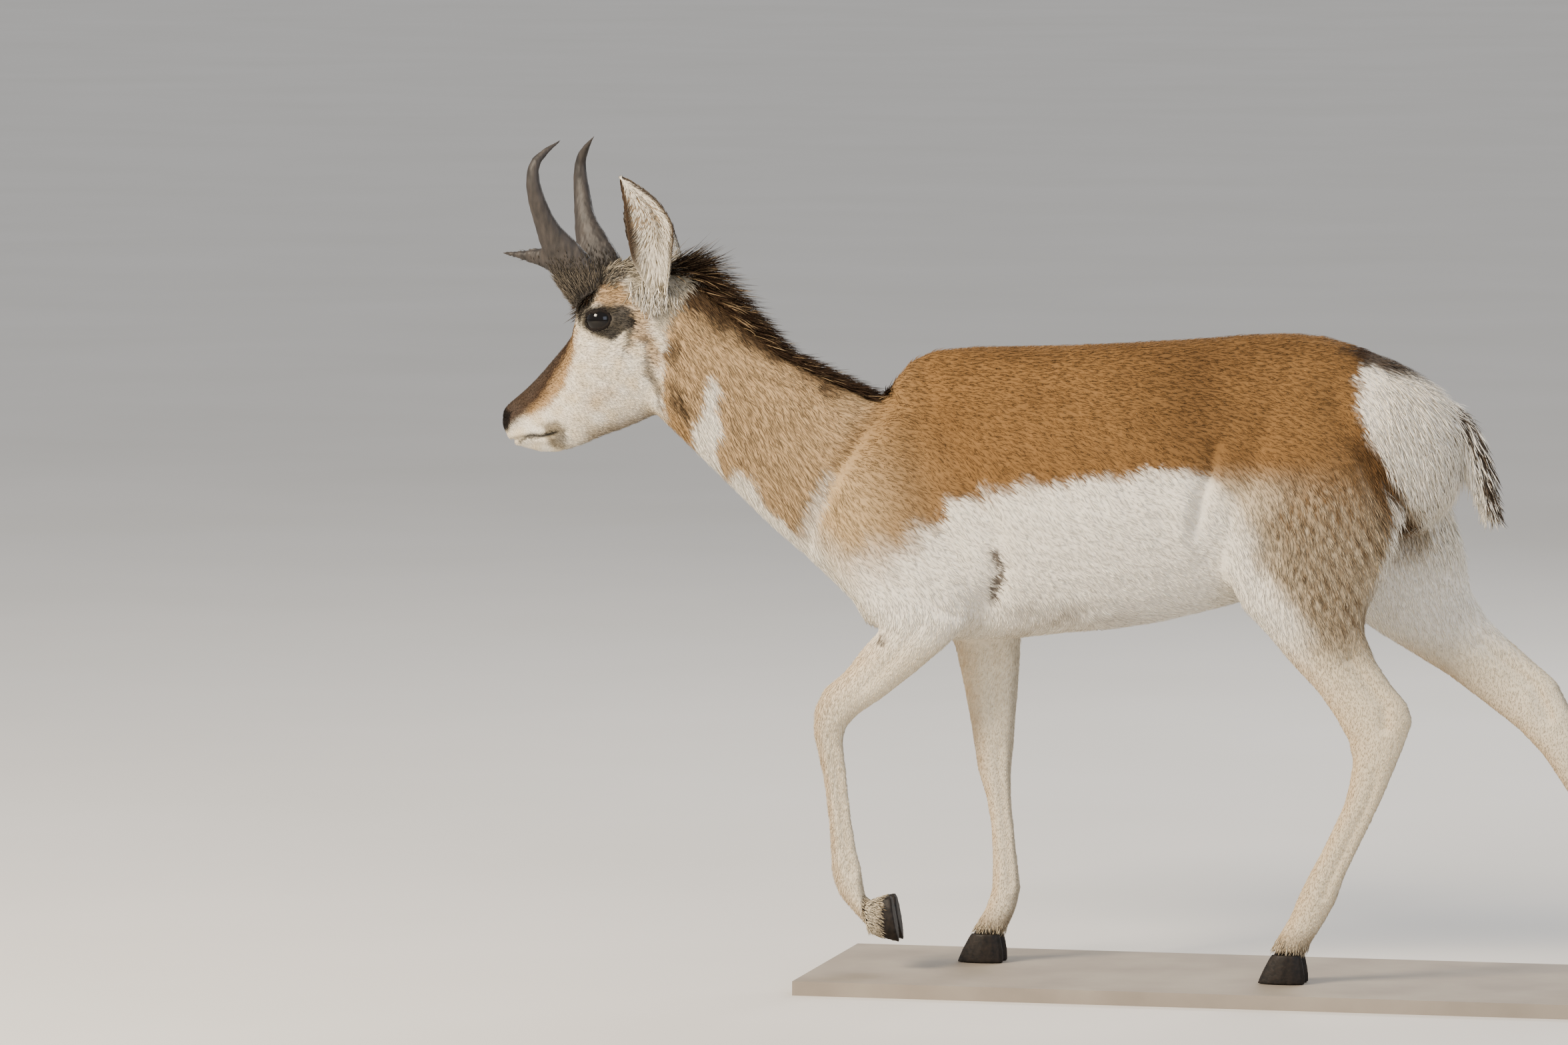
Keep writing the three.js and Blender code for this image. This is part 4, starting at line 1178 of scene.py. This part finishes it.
def nearest_on(surface, points):
    """Place, normal and bake-map place of a piece's nearest vertex to each point."""
    data = surface.data
    tree = KDTree(len(data.vertices))
    for i, v in enumerate(data.vertices):
        tree.insert(v.co, i)
    tree.balance()
    spot = np.array([tree.find(Vector(p))[1] for p in to_scene(points)])
    uv = np.zeros((len(data.vertices), 2))
    uv[read(data.loops, "vertex_index", 1, np.int32)[:, 0]] = read(data.uv_layers["OFBake"].data, "uv", 2)
    return places(surface)[spot], normals(surface)[spot], uv[spot]


MANE_CREST = [(-172, 986), (-150, 986), (-131, 982), (-64, 921), (4, 866), (76, 831), (131, 806), (150, 812)]


def grow_mane():
    rng = np.random.default_rng(401)
    count = MANE_LOCKS
    crest = np.array(MANE_CREST, float)
    gone = np.concatenate([[0], np.cumsum(np.linalg.norm(np.diff(crest, axis=0), axis=1))])
    t = rng.uniform(0, 1, count) ** 1.1
    x, z = (np.interp(t * gone[-1], gone, crest[:, k]) for k in (0, 1))
    y = rng.normal(0, 0.5, count).clip(-1, 1) * (27 - 14 * t)
    place, out, uv = nearest_on(skin, np.stack([x, y, z - 0.012 * y * y], 1))
    place = place + np.stack([rng.uniform(-3, 3, count), rng.uniform(-2, 2, count), 0 * x], 1)
    run = level(unit(np.stack([0.76 + 0 * x, 0.012 * y, -0.65 + 0 * x], 1)), out)
    colour = np.tile(UMBER * 0.75, (count, 1))
    pale = (rng.uniform(0, 1, count) < 0.22 * (1 - t))[:, None]
    colour = np.where(pale, NECK_TAN * 0.55, colour)
    length = 66 - 34 * t + 8 * np.sin(9 * t)
    grow_locks("mane", rng, (place, run, out, uv), length, 1.6, 44 - 24 * t, colour, droop=0.08)


# Locks of the head: name, number, the box of the roots in the head frame, the way they run, length,
# lift in degrees and two colours. A box that starts beside the middle is planted on both sides.
HEAD_LOCKS = [
    ("forelock", 800, (-128, -34, 16), (-104, 34, 84), (-0.45, 0.35, -0.7), 21, 42, UMBER, SMOKE * 0.55),
    ("brow_hair", 520, (-118, 26, 34), (-84, 48, 66), (0.35, 0.3, -0.3), 13, 34, UMBER * 0.7, SMOKE * 0.5),
    ("crown_hair", 900, (-84, -34, 88), (20, 34, 104), (0.9, 0.25, 0.1), 30, 30, CROWN * 1.1, SMOKE),
    ("ear_root_hair", 700, (-34, 40, 40), (30, 60, 84), (0.25, 0.4, -0.85), 26, 24, WHITE * 0.85, CROWN),
    ("horn_root_hair", 700, (-112, 22, 60), (-48, 50, 96), (0.5, 0.1, 0.35), 17, 36, SMOKE, CROWN * 0.7),
]


def grow_head_locks():
    """Dark hair off the forehead, pale hair on the crown and below the ears."""
    rng = np.random.default_rng(402)
    for name, count, low, high, way, length, lift, common, rare in HEAD_LOCKS:
        low, high = np.array(low, float), np.array(high, float)
        spot = (low + high) / 2 + (rng.normal(0, 0.42, (count, 3)).clip(-1.2, 1.2)) * (high - low) / 2
        if low[1] > 0:
            spot[:, 1] = np.abs(spot[:, 1]) * np.where(rng.uniform(0, 1, count) < 0.5, -1, 1)
        place, out, uv = nearest_on(skin, from_head(spot))
        place = place + rng.normal(0, 1.2, (count, 3))
        run = np.tile(np.array(way, float), (count, 1))
        run[:, 1] *= np.sign(spot[:, 1])
        run = level(unit(run @ HEAD_AXES), out, 0.8)
        colour = np.where(rng.uniform(0, 1, (count, 1)) < 0.6, common, rare)
        length = length * rng.uniform(0.55, 1.15, count)
        spots = place, run, out, uv
        grow_locks(name, rng, spots, length, 1.7, lift, colour, droop=0.12, curl=0.16)


def grow_tail():
    rng = np.random.default_rng(403)
    count = TAIL_LOCKS
    t = rng.uniform(0.0, 1, count)
    turn = rng.uniform(0, 2 * math.pi, count)
    steps = np.linspace(0, 1, len(DOCK))
    x, z, radius = (np.interp(t, steps, column) for column in np.array(DOCK, float).T)
    out = np.stack([np.cos(turn), np.sin(turn), 0.15 * np.ones(count)], 1)
    place = np.stack([x, 0 * t, z], 1) + unit(out) * (radius * 0.8)[:, None]
    run = unit(np.tile([0.3, 0.0, -0.95], (count, 1)) + np.outer(ease(0.3, 0, t), [0.55, 0, 0.5]))
    out = level(out, run)
    colour = np.tile(WHITE * 0.95, (count, 1))
    streak = (np.cos(turn) > 0.1) & (rng.uniform(0, 1, count) < 0.62) & (place[:, 2] > 665)
    colour = np.where(streak[:, None], UMBER + (SMOKE - UMBER) * rng.uniform(0, 0.6, (count, 1)), colour)
    spots = place, run, out, nearest_on(skin, place)[2]
    grow_locks("tail_hair", rng, spots, 50 - 18 * t, 2.4, 15, colour, droop=0.12)


def grow_horn_hair(horn, side):
    """Short bristles that cover the base of the sheath and thin out upwards."""
    unwrap(horn)

    def density(centre, normal):
        head = to_head(centre)
        return ease(118, 62, head[:, 2]) * (0.35 + 0.65 * ease(-160, -130, head[:, 0]))

    seed = 501 if side < 0 else 502
    place, out, uv, rng = sow(horn, seed, lambda centre: np.full(len(centre), 5.5), density)
    count = len(place)
    run = level(np.tile([-0.35, 0.05 * side, 0.9], (count, 1)) @ HEAD_AXES, out)
    low = ease(104, 60, to_head(place)[:, 2])
    pale = 0.75 * low * (rng.uniform(0, 1, count) < 0.6)
    colour = blend(np.tile(SMOKE * 0.45, (count, 1)), SMOKE, pale)
    spots = place, run, out, uv
    name = "horn_hair_" + SIDES[side]
    grow_locks(name, rng, spots, 7 + 9 * low, 1.1, 16, colour, 4, curl=0.1)


# The skin between the tufts is a little darker than they are
SKIN_SHADE = 0.87


skin = build_skin()
unwrap(skin)
paint(skin, markings(places(skin), normals(skin)) * SKIN_SHADE)
finished(skin, SKIN, FLESH)
grow_coat()
for side in SIDES:
    build_eye(side)
    build_lids(side)
for side in SIDES:
    grow_horn_hair(build_horn("horn_" + SIDES[side]), side)
grow_ears({name: build_ear(name) for name in EARS})
grow_mane()
grow_head_locks()
grow_tail()
grow_coronets()
for leg in LEGS:
    build_hooves(leg)
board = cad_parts["stand_base"]
board.data.materials.clear()
board.data.materials.append(BOARD)

# Stage, light and camera

FLOOR_SIZE = 400
bpy.ops.mesh.primitive_plane_add(size=FLOOR_SIZE, location=(0, 0, 0))
floor = bpy.context.object
floor.name = "floor"
floor.data.materials.append(FLOOR)

world = bpy.data.worlds.new("pale_room")
bpy.context.scene.world = world
world.use_nodes = True
sky = world.node_tree.nodes["Background"].inputs
sky["Color"].default_value, sky["Strength"].default_value = linear("#e6e7ea"), 0.85


def soft_light(name, place, target, size, watts, colour):
    """An area light at a place, facing a target. The size is in metres."""
    data = bpy.data.lights.new(name, "AREA")
    data.shape = "RECTANGLE"
    data.size, data.size_y = size
    data.energy = watts
    data.color = linear(colour)[:3]
    lamp = linked(name, data)
    lamp.location = place
    lamp.rotation_euler = (Vector(target) - Vector(place)).to_track_quat("-Z", "Y").to_euler()


soft_light("key", (-3.4, -3.9, 3.9), (0, 0, 0.6), (1.9, 1.6), 760, "#ffeed6")
soft_light("fill", (3.6, -4.0, 2.2), (0, 0, 0.6), (3.0, 2.4), 90, "#dfe8ff")
soft_light("back", (1.6, 4.4, 3.6), (0, 0, 0.8), (2.6, 1.6), 170, "#ffffff")

VIEW_CENTRE = Vector(to_scene([0, 0, 623]))
VIEW_DISTANCE = 14.0
PICTURE_WIDTH = 2.211
AZIMUTH, ELEVATION = math.radians(13), math.radians(5)
LEVEL = math.cos(ELEVATION)
back = Vector((math.sin(AZIMUTH) * LEVEL, -math.cos(AZIMUTH) * LEVEL, math.sin(ELEVATION)))
camera_data = bpy.data.cameras.new("camera")
camera_data.lens = camera_data.sensor_width * VIEW_DISTANCE / PICTURE_WIDTH
camera_data.clip_end = FLOOR_SIZE * 1.25
camera = linked("camera", camera_data)
camera.location = VIEW_CENTRE + back * VIEW_DISTANCE
camera.rotation_mode = "QUATERNION"
camera.rotation_quaternion = (-back).to_track_quat("-Z", "Y")
bpy.context.scene.camera = camera
